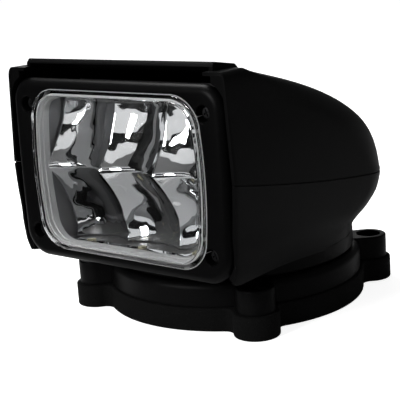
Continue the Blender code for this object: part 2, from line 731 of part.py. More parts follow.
def make_hood(shell):
    """The raised hood over the lamp: a lip at the front that runs back and down into the dome."""
    lip = HOOD_FRONT + 0.0018
    under = SHELL_TOP - 0.0014
    outline = [(HOOD_FRONT, HOOD_TOP - 0.0022), (lip, HOOD_TOP), (HOOD_REAR - 0.0025, HOOD_TOP - HOOD_FALL),
               (HOOD_REAR, SHELL_TOP - 0.0006), (HOOD_REAR, under), (HOOD_FRONT, under)]
    join(shell, prism("hood_block", outline, -HOOD_HALF_WIDTH, HOOD_HALF_WIDTH, "X"))
    front = SHELL_FRONT - 0.01
    ceiling = HOOD_TOP - HOOD_WALL
    room = [(front, ceiling), (lip, ceiling), (HOOD_REAR - 0.0025, ceiling - HOOD_FALL),
            (ROOM_REAR, ceiling - HOOD_FALL - 0.0085), (ROOM_REAR, ROOM_BOTTOM), (front, ROOM_BOTTOM)]
    inner = HOOD_HALF_WIDTH - HOOD_WALL
    cut(shell, prism("hood_room", room, -inner, inner, "X"))
    low = (-ROOM_HALF_WIDTH, front, BEZEL_Z)
    high = (ROOM_HALF_WIDTH, SHELL_FRONT + 0.005, SHELL_TOP - SHELL_WALL)
    cut(shell, box("face_room", low, high))


def make_front_frame(shell):
    """The face of the upper shell round the lamp: it follows the shell outside and the bezel inside."""
    right = []
    for share in (0.0, 0.3, 0.6, 0.9, 0.97):
        width, flare = dome_level(share)[:2]
        right.append((width + flare - GAP, dome_height(share, SHELL_FRONT)))
    right.append((right[-1][0] - 0.003, SHELL_TOP - GAP))
    outline = right + [(-u, v) for u, v in reversed(right)]
    frame = prism("front_frame", outline, SHELL_FRONT + GAP, SHELL_FRONT + 0.0038, "Y")
    opening = barrel(BEZEL_HALF_WIDTH + 0.003, BEZEL_HALF_HEIGHT + 0.0016, BEZEL_CORNER, BEZEL_BULGE * 3)
    opening = [(u, v + BEZEL_Z) for u, v in opening]
    cut(frame, prism("frame_opening", opening, SHELL_FRONT - 0.01, SHELL_FRONT + 0.01, "Y"))
    join(shell, frame)


# Share of the way down from the parting line, then the flare towards the front, and in shares of half
# the shell's width the change in half width, the change in rear reach and the rear corner
LOWER_LEVELS = [
    (0.0, 0.0036, 0.0, 0.0, 0.5714),
    (0.05, 0.0034, 0.0, 0.0, 0.5714),
    (0.3, 0.0028, -0.0036, -0.0238, 0.619),
    (0.52, 0.0022, -0.0095, -0.0833, 0.7143),
    (0.66, 0.0034, -0.0226, -0.1488, 0.7857),
    (0.77, 0.0043, -0.0393, -0.1429, 0.869),
    (0.89, 0.0048, -0.0548, -0.1071, 0.919),
    (1.0, 0.0032, -0.0667, -0.1024, 0.9262),
]


def make_cheek_lip(name, side):
    """The flange that a cheek turns inward under the lamp's lower corner."""
    wide = BEZEL_HALF_WIDTH
    low = CHEEK_BOTTOM + CHEEK_LIFT
    outline = [(wide + 0.0006, low + 0.0135), (wide - 0.0002, low + 0.0105), (wide - 0.001, low + 0.0075),
               (wide - 0.0023, low + 0.005), (wide - 0.0038, low + 0.0033), (wide - 0.0038, low + 0.0016),
               (wide - 0.0026, low + 0.0009), (wide - 0.0002, low + 0.0012), (wide + 0.0008, low + 0.006)]
    front = SHELL_FRONT + CHEEK_RAKE + GAP
    return prism(name, [(side * u, v) for u, v in outline], front, front + 0.004, "Y")


def make_lower_shell():
    rings = []
    half = SHELL_WIDTH / 2
    for share, flare, inset, rear, corner in LOWER_LEVELS:
        def height(y, share=share):
            high = parting_height(y) - PARTING_GAP / 2
            return high + (lower_edge_height(y) - high) * share

        front = SHELL_FRONT + CHEEK_RAKE * share**2
        level = (half + half * inset, flare, SHELL_REAR + half * rear, half * corner, None, 2.0, front)
        rings.append(shell_ring(level, height))
    shell = open_shell("lower_shell", rings, black_plastic, False)
    join(shell, make_cheek_lip("cheek_lip_left", -1), make_cheek_lip("cheek_lip_right", 1))
    hub = POST_RADIUS + GAP + BUSH_WALL + GAP
    foot = TURNTABLE_RADIUS - TURNTABLE_WALL
    washer_top = DRUM_TOP + GAP + WASHER_THICKNESS
    profile = [(foot, FLOOR_TOP - 0.0005), (foot, TURNTABLE_BOTTOM)]
    profile += [(TURNTABLE_RADIUS - 0.0015, TURNTABLE_BOTTOM)]
    profile += [(TURNTABLE_RADIUS, TURNTABLE_BOTTOM + 0.0015), (TURNTABLE_RADIUS, FLOOR_BOTTOM - 0.001)]
    profile += [(TURNTABLE_RADIUS - 0.003, FLOOR_TOP - 0.0005)]
    turntable = turned("turntable", profile)
    hub_end = POST_TOP - PAN_GEAR_DROP - 0.0005
    profile = [(hub, washer_top + GAP), (hub + HUB_WALL, washer_top + GAP)]
    profile += [(hub + HUB_WALL, hub_end), (hub, hub_end)]
    hub_tube = turned("hub_tube", profile, sides=ROUND_SIDES)
    plan = plan_points(half * 0.9143, 0, SHELL_REAR - 0.01, half * 0.9107)
    side = [(x, y) for x, y in plan if y > FLOOR_FRONT]
    side = [(side[0][0] - 0.004, FLOOR_FRONT)] + side
    outline = side + [(0, side[-1][1])] + [(-x, y) for x, y in reversed(side)]
    floor = prism("shell_floor", outline, FLOOR_BOTTOM + GAP, FLOOR_TOP, "Z")
    cut(floor, cylinder("floor_hole", hub + HUB_WALL / 2, 0, REACH, (0, 0), sides=ROUND_SIDES))
    join(turntable, floor, hub_tube)
    join(shell, turntable)
    return shell


def boss_places():
    return [(x, y) for x in (-BOSS_X, BOSS_X) for y in (BOSS_FRONT_Y, BOSS_REAR_Y)]


def make_shell_bosses(lower, upper):
    """Posts in both shells, and the screws that come up through the floor to hold the shells together."""
    seat = FLOOR_BOTTOM + FLOOR_THICKNESS / 2
    for i, place in enumerate(boss_places()):
        low_post = cylinder(f"low_post_{i + 1}", BOSS_RADIUS, seat, BOSS_SPLIT, place, sides=8)
        join(lower, low_post)
        rim = [(place[0] + u, place[1] + v) for u, v in arc(0, 0, BOSS_RADIUS, 0, math.pi * 1.75, 7)]
        foot = [Vector((x, y, BOSS_SPLIT + GAP)) for x, y in rim]
        top = [Vector((x, y, height_under_dome(x, y) - SHELL_WALL * 0.9)) for x, y in rim]
        join(upper, loft(f"high_post_{i + 1}", [foot, top]))
    for i, place in enumerate(boss_places()):
        drill = SCREW_SHANK_RADIUS + GAP
        cut(lower, cylinder(f"low_drill_{i + 1}", drill, 0.0, REACH, place, sides=8))
        cut(upper, cylinder(f"high_drill_{i + 1}", drill, 0.0, BOSS_SPLIT + 0.0085, place, sides=8))
        location = (*place, FLOOR_BOTTOM - GAP)
        screw(f"shell_screw_{i + 1}", location, 0.0024, BOSS_SPLIT + 0.008 - FLOOR_BOTTOM, "up", pan_axis)


def make_shell_seal():
    """A rubber strip inside the seam, from one cheek round the rear to the other."""
    rings = []
    inset = SHELL_WALL + 0.0009
    thickness = 0.0018
    tall = 0.0026
    start = ROOM_REAR + 0.006
    seam = plan_points(SHELL_WIDTH / 2, 0.0036, SHELL_REAR, SHELL_WIDTH * 0.2857)
    half = [(x, y) for x, y in seam if y > start]
    plan = [(-x, y) for x, y in half] + [(0, SHELL_REAR)] + list(reversed(half))
    for i, (x, y) in enumerate(plan):
        before = Vector(plan[max(0, i - 1)])
        after = Vector(plan[min(len(plan) - 1, i + 1)])
        along = (after - before).normalized()
        inward = Vector((along.y, -along.x))
        outer = Vector((x, y)) + inward * inset
        inner = outer + inward * thickness
        level = parting_height(y)
        rings.append([
            Vector((outer.x, outer.y, level - tall)), Vector((inner.x, inner.y, level - tall)),
            Vector((inner.x, inner.y, level + tall)), Vector((outer.x, outer.y, level + tall)),
        ])
    loft("shell_seal", rings, seal_rubber, pan_axis)


# Lamp

def make_bezel():
    shape = (BEZEL_HALF_WIDTH, BEZEL_HALF_HEIGHT, BEZEL_CORNER, BEZEL_BULGE, BEZEL_LOW_CORNER)
    opening = (LENS_HALF_WIDTH, LENS_HALF_HEIGHT, LENS_CORNER, LENS_BULGE)
    back = BEZEL_FRONT + BEZEL_DEPTH
    rings = [face_ring(shape, back, BEZEL_DRAFT, BEZEL_Z)]
    rings.append(face_ring(shape, BEZEL_FRONT + BEZEL_ROUNDING, 0.0, BEZEL_Z))
    for angle in (30, 60, 90):
        turn = math.radians(angle)
        rings.append(face_ring(shape, BEZEL_FRONT + BEZEL_ROUNDING * (1 - math.sin(turn)),
                               BEZEL_ROUNDING * (1 - math.cos(turn)), BEZEL_Z))
    rings.append(face_ring(opening, BEZEL_FRONT, -GAP - 0.0006, LENS_Z))
    rings.append(face_ring(opening, BEZEL_FRONT + 0.0006, -GAP, LENS_Z))
    rebate = back - REBATE_DEPTH
    rings.append(face_ring(opening, rebate, -GAP, LENS_Z))
    rings.append(face_ring(opening, rebate, -LENS_FLANGE - GAP, LENS_Z))
    rings.append(face_ring(opening, back, -LENS_FLANGE - GAP, LENS_Z))
    bezel = loft("bezel", rings, bezel_plastic, tilt_axis, looped=True)
    seat = BEZEL_FRONT + RECESS_DEPTH
    for i, (x, side) in enumerate(SCREW_PLACES):
        place = (x, LENS_Z + side * SCREW_RISE)
        recess = cylinder(f"recess_{i + 1}", RECESS_RADIUS, BEZEL_FRONT - 0.01, seat, place, "Y", sides=14)
        drill = SCREW_SHANK_RADIUS + GAP
        hole = cylinder(f"bezel_hole_{i + 1}", drill, seat - 0.005, back + 0.01, place, "Y", sides=8)
        cut(bezel, recess, hole)
        head = (place[0], seat - GAP, place[1])
        screw(f"bezel_screw_{i + 1}", head, SCREW_HEAD_HEIGHT, 0.0085, "back", tilt_axis)
    return bezel


def make_lens():
    shape = (LENS_HALF_WIDTH, LENS_HALF_HEIGHT, LENS_CORNER, LENS_BULGE)
    rebate = BEZEL_FRONT + BEZEL_DEPTH - REBATE_DEPTH
    inner = LENS_FRONT + LENS_WALL
    rings = [
        face_ring(shape, inner, LENS_WALL + 0.003, LENS_Z),
        face_ring(shape, inner + 0.0012, LENS_WALL + 0.0012, LENS_Z),
        face_ring(shape, rebate + 0.0022, LENS_WALL, LENS_Z),
        face_ring(shape, rebate + 0.0022, -LENS_FLANGE, LENS_Z),
        face_ring(shape, rebate + GAP, -LENS_FLANGE, LENS_Z),
        face_ring(shape, rebate + GAP, 0.0, LENS_Z),
        face_ring(shape, LENS_FRONT + 0.0016, 0.0004, LENS_Z),
        face_ring(shape, LENS_FRONT + 0.0008, 0.0034, LENS_Z),
        face_ring(shape, LENS_FRONT, 0.0042, LENS_Z),
    ]
    loft("lens", rings, clear_plastic, tilt_axis)
    low = rebate + 0.0022 + GAP
    high = BEZEL_FRONT + BEZEL_DEPTH
    band = [
        face_ring(shape, low, -LENS_FLANGE, LENS_Z), face_ring(shape, low, 0.0004, LENS_Z),
        face_ring(shape, high, 0.0004, LENS_Z), face_ring(shape, high, -LENS_FLANGE, LENS_Z),
    ]
    loft("lens_gasket", band, seal_rubber, tilt_axis, looped=True)


def bowl_depth(x, z):
    """Depth of the mirror: half a paraboloid in each of two rows and three columns, cut off at the front."""
    column = REFLECTOR_HALF_WIDTH * 2 / 3
    across = abs((x + REFLECTOR_HALF_WIDTH) % column - column / 2)
    if abs(x) >= REFLECTOR_HALF_WIDTH:
        across = column / 2
    down = REFLECTOR_HALF_HEIGHT - abs(z)
    return max(REFLECTOR_FRONT, REFLECTOR_VERTEX - (across**2 + down**2) / (4 * FOCAL_LENGTH))


def make_reflector():
    columns = 15
    rows = 10
    bm = bmesh.new()
    grid = []
    for j in range(rows + 1):
        z = REFLECTOR_HALF_HEIGHT * (2 * j / rows - 1)
        line = []
        for i in range(columns + 1):
            x = REFLECTOR_HALF_WIDTH * (2 * i / columns - 1)
            line.append(bm.verts.new((x, bowl_depth(x, z), z + LENS_Z)))
        grid.append(line)
    for j in range(rows):
        for i in range(columns):
            bm.faces.new((grid[j][i], grid[j][i + 1], grid[j + 1][i + 1], grid[j + 1][i]))
    mirror = finish(bm, "reflector", chrome, axis=tilt_axis)
    wall = mirror.modifiers.new("wall", "SOLIDIFY")
    wall.thickness = REFLECTOR_WALL
    wall.offset = -1 if mirror.data.polygons[0].normal.y < 0 else 1


def make_boards():
    """A board of three emitters along the top of the mirror and one along the bottom."""
    column = REFLECTOR_HALF_WIDTH * 2 / 3
    focus = REFLECTOR_VERTEX - FOCAL_LENGTH
    for name, side in (("upper", 1), ("lower", -1)):
        near = LENS_Z + side * (REFLECTOR_HALF_HEIGHT + GAP)
        far = near + side * BOARD_THICKNESS
        front = BEZEL_FRONT + BEZEL_DEPTH + GAP
        low_corner = (-BOARD_HALF_WIDTH, front, min(near, far))
        high_corner = (BOARD_HALF_WIDTH, REFLECTOR_VERTEX, max(near, far))
        box(f"led_board_{name}", low_corner, high_corner, board_white, tilt_axis)
        for i in range(3):
            x = column * (i - 1)
            face = near - side * GAP
            low = face - side * 0.0012
            reach = EMITTER_SIZE / 2
            box(f"led_{name}_{i + 1}", (x - reach, focus - reach, min(face, low)),
                (x + reach, focus + reach, max(face, low)), emitter_yellow, tilt_axis)


def make_tray():
    """The cast body behind the lens, with its trunnion bosses."""
    wall_x = REFLECTOR_HALF_WIDTH + TRAY_SIDE_ROOM
    shape = (wall_x + TRAY_WALL, REFLECTOR_HALF_HEIGHT + TRAY_ROOM + TRAY_WALL, 0.0045, 0.0)
    flange = (TRAY_FLANGE_HALF_WIDTH, TRAY_FLANGE_HALF_HEIGHT, 0.012, 0.001)
    front = BEZEL_FRONT + BEZEL_DEPTH + GAP
    step = front + TRAY_FLANGE_DEPTH
    rings = [
        face_ring(outline, y, inset, centre, 3, 1) for outline, y, inset, centre in (
            (shape, TRAY_BACK - TRAY_WALL, TRAY_WALL, LENS_Z), (shape, front, TRAY_WALL, LENS_Z),
            (flange, front, 0.0, LENS_Z + 0.0006), (flange, step, 0.0, LENS_Z + 0.0006),
            (shape, step, 0.0, LENS_Z), (shape, TRAY_BACK, 0.0, LENS_Z),
        )
    ]
    tray = loft("lamp_body", rings, cast_aluminium, tilt_axis)
    end = YOKE_X - GAP
    notch_x = abs(SECTOR_X) - SECTOR_WIDTH / 2 - GAP
    notch_z = TRUNNION_BOSS + 0.003
    for name, side in (("left", -1), ("right", 1)):
        span = sorted((side * notch_x, side * REACH))
        low = (span[0], front - 0.01, TILT_Z - notch_z)
        cut(tray, box(f"flange_notch_{name}", low, (span[1], step + 0.01, TILT_Z + notch_z)))
    for name, side in (("left", -1), ("right", 1)):
        span = sorted((side * (wall_x + TRAY_WALL / 2), side * end))
        join(tray, cylinder(f"trunnion_boss_{name}", TRUNNION_BOSS, *span, (TILT_Y, TILT_Z), "X", sides=16))
        span = sorted((side * (wall_x + TRAY_WALL), side * REACH))
        cut(tray, cylinder(f"trunnion_bore_{name}", PIN_RADIUS + GAP, *span, (TILT_Y, TILT_Z), "X", sides=12))
    for i, (x, side) in enumerate(SCREW_PLACES):
        place = (x, LENS_Z + side * SCREW_RISE)
        drill = SCREW_SHANK_RADIUS + GAP
        cut(tray, cylinder(f"tray_tap_{i + 1}", drill, front - 0.01, step + 0.01, place, "Y", sides=8))


def make_heat_sink():
    base = TRAY_BACK + GAP
    plate = base + SINK_PLATE
    back = plate + FIN_DEPTH
    outline = [(-SINK_HALF_WIDTH, base), (SINK_HALF_WIDTH, base)]
    pitch = (2 * SINK_HALF_WIDTH - FIN_THICKNESS) / (FIN_COUNT - 1)
    for i in range(FIN_COUNT):
        right = SINK_HALF_WIDTH - i * pitch
        left = right - FIN_THICKNESS
        if i:
            outline.append((right, plate))
        outline += [(right, back), (left, back)]
        if i < FIN_COUNT - 1:
            outline.append((left, plate))
    low = LENS_Z - SINK_HALF_HEIGHT
    prism("heat_sink", outline, low, low + 2 * SINK_HALF_HEIGHT, "Z", cast_aluminium, tilt_axis)


# Yoke and drives

def make_yoke():
    """A folded sheet that rises from the floor on both sides and carries the lamp's trunnions."""
    base = DECK - TILT_Z
    inside = REFLECTOR_HALF_WIDTH + TRAY_SIDE_ROOM + TRAY_WALL + 0.0015 + YOKE_SHEET
    outer = YOKE_X + YOKE_SHEET
    right = [(inside - YOKE_SHEET, base + YOKE_SHEET), (inside - YOKE_SHEET, -0.036), (YOKE_X, -0.0325),
             (YOKE_X, 0.012), (outer, 0.012), (outer, -0.0335), (inside, -0.0375), (inside, base)]
    outline = [(u, v + TILT_Z) for u, v in right + [(-u, v) for u, v in reversed(right)]]
    yoke = prism("yoke", outline, -REACH, 0.0, "Y", sheet_steel, pan_axis)
    reach = PIN_RADIUS + GAP + BUSH_RING + GAP + 0.0022
    lean = math.radians(20)
    side = arc(0, 0, reach, 0.0, math.pi + lean, 9)
    side += [(0.006, -0.029), (0.0125, -0.036), (0.018, base - GAP)]
    side += [(0.04, base - GAP), (0.026, -0.036), (0.018, -0.029)]
    side = [(u + TILT_Y, v + TILT_Z) for u, v in side]
    silhouette = prism("yoke_side", side, -REACH, REACH, "X")
    solid_boolean(yoke, silhouette, "INTERSECT")
    bore = PIN_RADIUS + GAP + BUSH_RING + GAP
    cut(yoke, cylinder("yoke_bore", bore, -REACH, REACH, (TILT_Y, TILT_Z), "X", sides=16))
    for i, x in enumerate((-YOKE_SCREW_X, YOKE_SCREW_X)):
        place = (x, TILT_Y + 0.029)
        cut(yoke, cylinder(f"yoke_hole_{i + 1}", SCREW_SHANK_RADIUS + GAP, 0, REACH, place, sides=10))
        head = (*place, DECK + YOKE_SHEET + GAP)
        screw(f"yoke_screw_{i + 1}", head, SCREW_HEAD_HEIGHT, YOKE_SHEET, "down", pan_axis)
    centre = (TILT_Y, TILT_Z)
    for name, side_sign in (("left", -1), ("right", 1)):
        low, high = sorted((side_sign * YOKE_X, side_sign * outer))
        ring = PIN_RADIUS + GAP + BUSH_RING
        bush = cylinder(f"trunnion_bush_{name}", ring, low, high, centre, "X", white_acetal, pan_axis, 16)
        cut(bush, cylinder(f"bush_bore_{name}", PIN_RADIUS + GAP, -REACH, REACH, centre, "X", sides=12))
        inner_end = REFLECTOR_HALF_WIDTH + TRAY_SIDE_ROOM + TRAY_WALL + GAP
        low, high = sorted((side_sign * inner_end, side_sign * (outer + 0.0012)))
        pin = cylinder(f"trunnion_pin_{name}", PIN_RADIUS, low, high, centre, "X", stainless, tilt_axis, 12)
        low, high = sorted((side_sign * (outer + GAP), side_sign * (outer + 0.0016)))
        join(pin, cylinder(f"pin_head_{name}", PIN_RADIUS + 0.002, low, high, centre, "X", sides=12))


def make_sector():
    """The toothed arc fixed to the lamp's left trunnion boss. It reaches back to the tilt pinion."""
    outline = []
    step = 2 * math.pi / SECTOR_TEETH
    for i in range(-SECTOR_HALF_TEETH, SECTOR_HALF_TEETH + 1):
        outline += tooth_points(SECTOR_TEETH, i * step)
    spread = (SECTOR_HALF_TEETH + 0.5) * step
    root = gear_radii(SECTOR_TEETH)[0]
    hub = TRUNNION_BOSS + 0.0013
    outline += [(root * math.cos(spread), root * math.sin(spread))]
    outline += arc(0, 0, hub, math.pi * 0.42, math.pi * 1.58, 10)
    outline += [(root * math.cos(spread), -root * math.sin(spread))]
    outline = [(u + TILT_Y, v + TILT_Z) for u, v in outline]
    low = SECTOR_X - SECTOR_WIDTH / 2
    high = SECTOR_X + SECTOR_WIDTH / 2
    sector = prism("tilt_sector", outline, low, high, "X", gear_acetal, tilt_axis)
    cut(sector, cylinder("sector_bore", TRUNNION_BOSS + GAP, -REACH, 0.0, (TILT_Y, TILT_Z), "X", sides=20))
    cut(sector, cylinder("sector_window", 0.0075, -REACH, 0.0, (TILT_Y + root * 0.62, TILT_Z), "X", sides=20))
    space = math.pi / PINION_TEETH
    centre_y = TILT_Y + tilt_centres
    teeth = [(u + centre_y, v + TILT_Z) for u, v in gear_outline(PINION_TEETH, math.pi + space)]
    pinion = prism("tilt_pinion", teeth, low - 0.0005, high + 0.0005, "X", stainless, tilt_pinion_axis)
    shaft_end = TILT_WALL_X + BRACKET_SHEET
    join(pinion, cylinder("tilt_shaft", PIN_RADIUS, SECTOR_X, shaft_end, (centre_y, TILT_Z), "X", sides=12))


def make_tilt_motor():
    centre = (TILT_Y + tilt_centres, TILT_Z)
    wall = TILT_WALL_X
    sheet = BRACKET_SHEET
    top = TILT_Z + MOTOR_RADIUS + 0.002
    profile = [(wall, DECK), (wall + BRACKET_FOOT, DECK), (wall + BRACKET_FOOT, DECK + sheet)]
    profile += [(wall + sheet, DECK + sheet), (wall + sheet, top), (wall, top)]
    bracket = prism("tilt_bracket", profile, centre[0] - 0.0105, centre[0] + 0.0105, "Y", sheet_steel, pan_axis)
    cut(bracket, cylinder("tilt_shaft_hole", PIN_RADIUS + SHAFT_ROOM, -REACH, 0.0, centre, "X", sides=16))
    start = wall + sheet + GAP
    box_end = start + GEARBOX_LENGTH
    cylinder("tilt_gearbox", MOTOR_RADIUS, start, box_end, centre, "X", motor_steel, pan_axis, 20)
    cylinder("tilt_motor", MOTOR_RADIUS - 0.0006, box_end + GAP, box_end + GAP + MOTOR_LENGTH, centre, "X",
             motor_steel, pan_axis, 20)


def make_pan_motor():
    top = PAN_BRACKET_TOP
    sheet = BRACKET_SHEET
    low = (-0.026, pan_centres - 0.0095, top - sheet)
    high = (0.026, pan_centres + 0.024, top)
    bracket = box("motor_bracket", low, high, sheet_steel, pan_axis)
    legs = [(x, y) for x in (-0.0225, 0.0225) for y in (low[1] + 0.0035, high[1] - 0.0035)]
    for i, (x, y) in enumerate(legs):
        join(bracket, cylinder(f"bracket_leg_{i + 1}", 0.003, DECK, top - sheet / 2, (x, y), sides=10))
    cut(bracket, cylinder("pan_shaft_hole", PIN_RADIUS + SHAFT_ROOM, 0, REACH, (0, pan_centres), sides=12))
    start = top + GAP
    box_end = start + GEARBOX_LENGTH
    cylinder("pan_gearbox", MOTOR_RADIUS, start, box_end, (0, pan_centres), "Z", motor_steel, pan_axis, 20)
    start = box_end + GAP
    can = MOTOR_RADIUS - 0.0006
    cylinder("pan_motor", can, start, start + MOTOR_LENGTH, (0, pan_centres), "Z", motor_steel, pan_axis, 20)
    board_y = high[1] - 0.0045
    low = (-CONTROL_BOARD_HALF_WIDTH, board_y, top + GAP)
    high = (CONTROL_BOARD_HALF_WIDTH, board_y + CONTROL_BOARD_THICKNESS, top + CONTROL_BOARD_HEIGHT)
    board = box("control_board", low, high, board_green, pan_axis)
    low = (-0.008, board_y - 0.0015, top + 0.012)
    high = (0.006, board_y + CONTROL_BOARD_THICKNESS / 2, top + 0.026)
    join(board, box("control_chip", low, high))


make_gasket()
make_base_housing()
make_cover()
make_gland()
make_pan_gear()
make_bearings()
lower_shell = make_lower_shell()
upper_shell = make_upper_shell()
make_front_frame(upper_shell)
make_hood(upper_shell)
make_shell_bosses(lower_shell, upper_shell)
make_shell_seal()
make_bezel()
make_lens()
make_reflector()
make_boards()
make_tray()
make_heat_sink()
make_yoke()
make_sector()
make_tilt_motor()
make_pan_motor()
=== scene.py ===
import math

import bmesh
import bpy
from mathutils import Matrix, Vector


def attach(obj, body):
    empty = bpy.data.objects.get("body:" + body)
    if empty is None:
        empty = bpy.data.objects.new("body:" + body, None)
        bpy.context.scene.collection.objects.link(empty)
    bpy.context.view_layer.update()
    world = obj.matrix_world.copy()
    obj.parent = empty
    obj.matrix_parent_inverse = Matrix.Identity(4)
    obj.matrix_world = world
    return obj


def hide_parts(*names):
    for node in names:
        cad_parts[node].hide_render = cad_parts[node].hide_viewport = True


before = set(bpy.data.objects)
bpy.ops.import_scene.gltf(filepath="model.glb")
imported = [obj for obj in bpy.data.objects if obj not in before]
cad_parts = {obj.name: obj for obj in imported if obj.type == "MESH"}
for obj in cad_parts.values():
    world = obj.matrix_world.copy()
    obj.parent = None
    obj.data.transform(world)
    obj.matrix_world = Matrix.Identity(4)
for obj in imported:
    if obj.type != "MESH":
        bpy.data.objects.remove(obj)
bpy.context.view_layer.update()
scene = bpy.context.scene
print("frame loaded:", len(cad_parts), "nodes")


# Shader maths

class Wire:  # one output of a node, so that 1 - mask or grain * 0.2 adds its Math nodes
    def __init__(self, tree, socket):
        self.tree = tree
        self.socket = socket

    def add(self, kind, settings=None, inputs=None, output=0):  # any other node, its settings first
        node = self.tree.nodes.new(kind)
        for name, value in (settings or {}).items():
            setattr(node, name, value)
        for name, value in (inputs or {}).items():
            if isinstance(value, Wire):
                self.tree.links.new(value.socket, node.inputs[name])
            else:
                node.inputs[name].default_value = value
        return Wire(self.tree, node.outputs[output])

    def calc(self, operation, first, second):
        return self.add("ShaderNodeMath", {"operation": operation}, {0: first, 1: second})

    def __add__(self, other):
        return self.calc("ADD", self, other)

    def __radd__(self, other):
        return self.calc("ADD", other, self)

    def __sub__(self, other):
        return self.calc("SUBTRACT", self, other)

    def __rsub__(self, other):
        return self.calc("SUBTRACT", other, self)

    def __mul__(self, other):
        return self.calc("MULTIPLY", self, other)

    def between(self, low, high):  # 0 below low, 1 above high
        inputs = {"Value": self, "From Min": low, "From Max": high}
        return self.add("ShaderNodeMapRange", {"clamp": True}, inputs)

    def tint(self, first, second):  # the first colour where this is 0, the second where it is 1
        inputs = {"Factor": self, 6: (*first, 1), 7: (*second, 1)}
        return self.add("ShaderNodeMix", {"data_type": "RGBA"}, inputs, 2)

    def noise(self, scale, detail=2.0, rough=0.5):
        inputs = {"Vector": self, "Scale": scale, "Detail": detail, "Roughness": rough}
        return self.add("ShaderNodeTexNoise", None, inputs)

    def bump(self, strength, depth):
        return self.add("ShaderNodeBump", None, {"Height": self, "Strength": strength, "Distance": depth})

    def stretched(self, scale, turn=(0, 0, 0)):  # coordinates scaled by a factor for each direction
        return self.add("ShaderNodeMapping", None, {"Vector": self, "Scale": scale, "Rotation": turn})


def newMaterial(name):  # the shader of an empty material and the object coordinates in it
    made = bpy.data.materials.new(name)
    made.use_nodes = True
    tree = made.node_tree
    shader = tree.nodes["Principled BSDF"]
    place = Wire(tree, tree.nodes.new("ShaderNodeTexCoord").outputs["Object"])
    return made, shader, place


def fit(shader, **sockets):  # sets or links sockets of a shader, where an underscore stands for a space
    for name, value in sockets.items():
        socket = shader.inputs[name.replace("_", " ")]
        if isinstance(value, Wire):
            value.tree.links.new(value.socket, socket)
        else:
            socket.default_value = value


mouldedLook = {
    "dark": (0.0016, 0.0016, 0.0017), "light": (0.0048, 0.0048, 0.005), "rough": 0.42, "level": 0.06,
    "grain": 1300, "depth": 0.00009, "strength": 0.7}


def makeMoulded(name, look):  # black moulded plastic with a fine satin texture
    made, shader, place = newMaterial(name)
    grain = place.noise(look["grain"], 2.0, 0.6)
    drift = place.noise(22, 3.0)
    speck = grain.between(0.58, 0.74)
    fit(shader, Base_Color=(speck * 0.7 + drift * 0.3).tint(look["dark"], look["light"]),
        Roughness=look["rough"] + drift * 0.08 - speck * 0.1, Specular_IOR_Level=look["level"],
        Normal=grain.bump(look["strength"], look["depth"]))
    return made


def makeFoam(name):  # closed-cell foam: pores cut open at the surface, their hollows painted darker as painted shade
    made, shader, place = newMaterial(name)
    pores = place.add("ShaderNodeTexVoronoi", {"feature": "F1"}, {"Vector": place, "Scale": 1100.0})
    lumps = place.noise(500, 3.0)
    poreDepthAndShade = pores.between(0.1, 0.6)
    lumpsAndPoreShade = poreDepthAndShade * 0.6 + lumps * 0.4
    # the pore hollows are painted darker, a painted shade in the pores, mixed with random lumps of tone
    fit(shader, Base_Color=lumpsAndPoreShade.tint((0.0008, 0.0008, 0.0008), (0.0035, 0.0035, 0.0035)),
        Roughness=0.86 + lumps * 0.12, Specular_IOR_Level=0.12,
        Normal=(poreDepthAndShade * 0.7 + lumps * 0.5).bump(0.8, 0.0003))
    return made


def makeRubber(name):  # black sealing rubber with a grey bloom
    made, shader, place = newMaterial(name)
    bloom = place.noise(140, 4.0)
    grain = place.noise(1500, 2.0)
    fit(shader, Base_Color=bloom.tint((0.004, 0.004, 0.004), (0.011, 0.011, 0.011)),
        Roughness=0.68 + bloom * 0.18, Specular_IOR_Level=0.3, Normal=grain.bump(0.3, 0.00005))
    return made


def makeAcetal(name, pale, dark):  # white bearing plastic, with faint turning marks
    made, shader, place = newMaterial(name)
    cloud = place.noise(60, 3.0)
    marks = place.stretched((200, 200, 2600)).noise(1.0, 2.0)
    fit(shader, Base_Color=cloud.tint(dark, pale), Roughness=0.36 + marks * 0.1, Subsurface_Weight=0.1,
        Subsurface_Radius=(0.001, 0.001, 0.0008), Normal=marks.bump(0.15, 0.00003))
    return made


def makeChrome(name):  # metallised reflector: almost a mirror, with a soft haze and faint flow lines
    made, shader, place = newMaterial(name)
    haze = place.noise(35, 4.0)
    waves = place.stretched((38, 38, 52)).noise(1.0, 0.6)
    ripples = place.stretched((120, 120, 60)).noise(1.0, 1.0)
    flow = waves + ripples * 0.16
    fit(shader, Base_Color=haze.tint((0.78, 0.79, 0.8), (0.9, 0.91, 0.92)), Metallic=1.0,
        Roughness=0.02 + haze * 0.04, Normal=flow.bump(0.7, 0.003))
    return made


def makePaintedHighlightSatin(name):  # bright satin plastic round the mirror, its white a painted highlight for the bright bands at the lens rim
    made, shader, place = newMaterial(name)
    haze = place.noise(45, 3.0)
    grain = place.noise(900, 2.0)
    fit(shader, Base_Color=haze.tint((0.9, 0.905, 0.91), (0.98, 0.982, 0.985)), Metallic=0.1,
        Roughness=0.24 + haze * 0.14, Normal=grain.bump(0.15, 0.00004))
    return made


def makeLens(name):  # clear polycarbonate: nearly all light goes through
    made, shader, place = newMaterial(name)
    wash = place.noise(30, 2.0)
    fit(shader, Base_Color=wash.tint((0.97, 0.975, 0.98), (1.0, 1.0, 1.0)), Roughness=0.004 + wash * 0.012,
        IOR=1.55, Transmission_Weight=1.0)
    return made


def makeCast(name):  # die-cast aluminium, lightly blasted
    made, shader, place = newMaterial(name)
    grit = place.noise(1700, 3.0, 0.6)
    stain = place.noise(40, 4.0)
    fit(shader, Base_Color=stain.tint((0.36, 0.36, 0.37), (0.52, 0.52, 0.53)), Metallic=1.0,
        Roughness=0.42 + grit * 0.12, Normal=grit.bump(0.4, 0.00008))
    return made


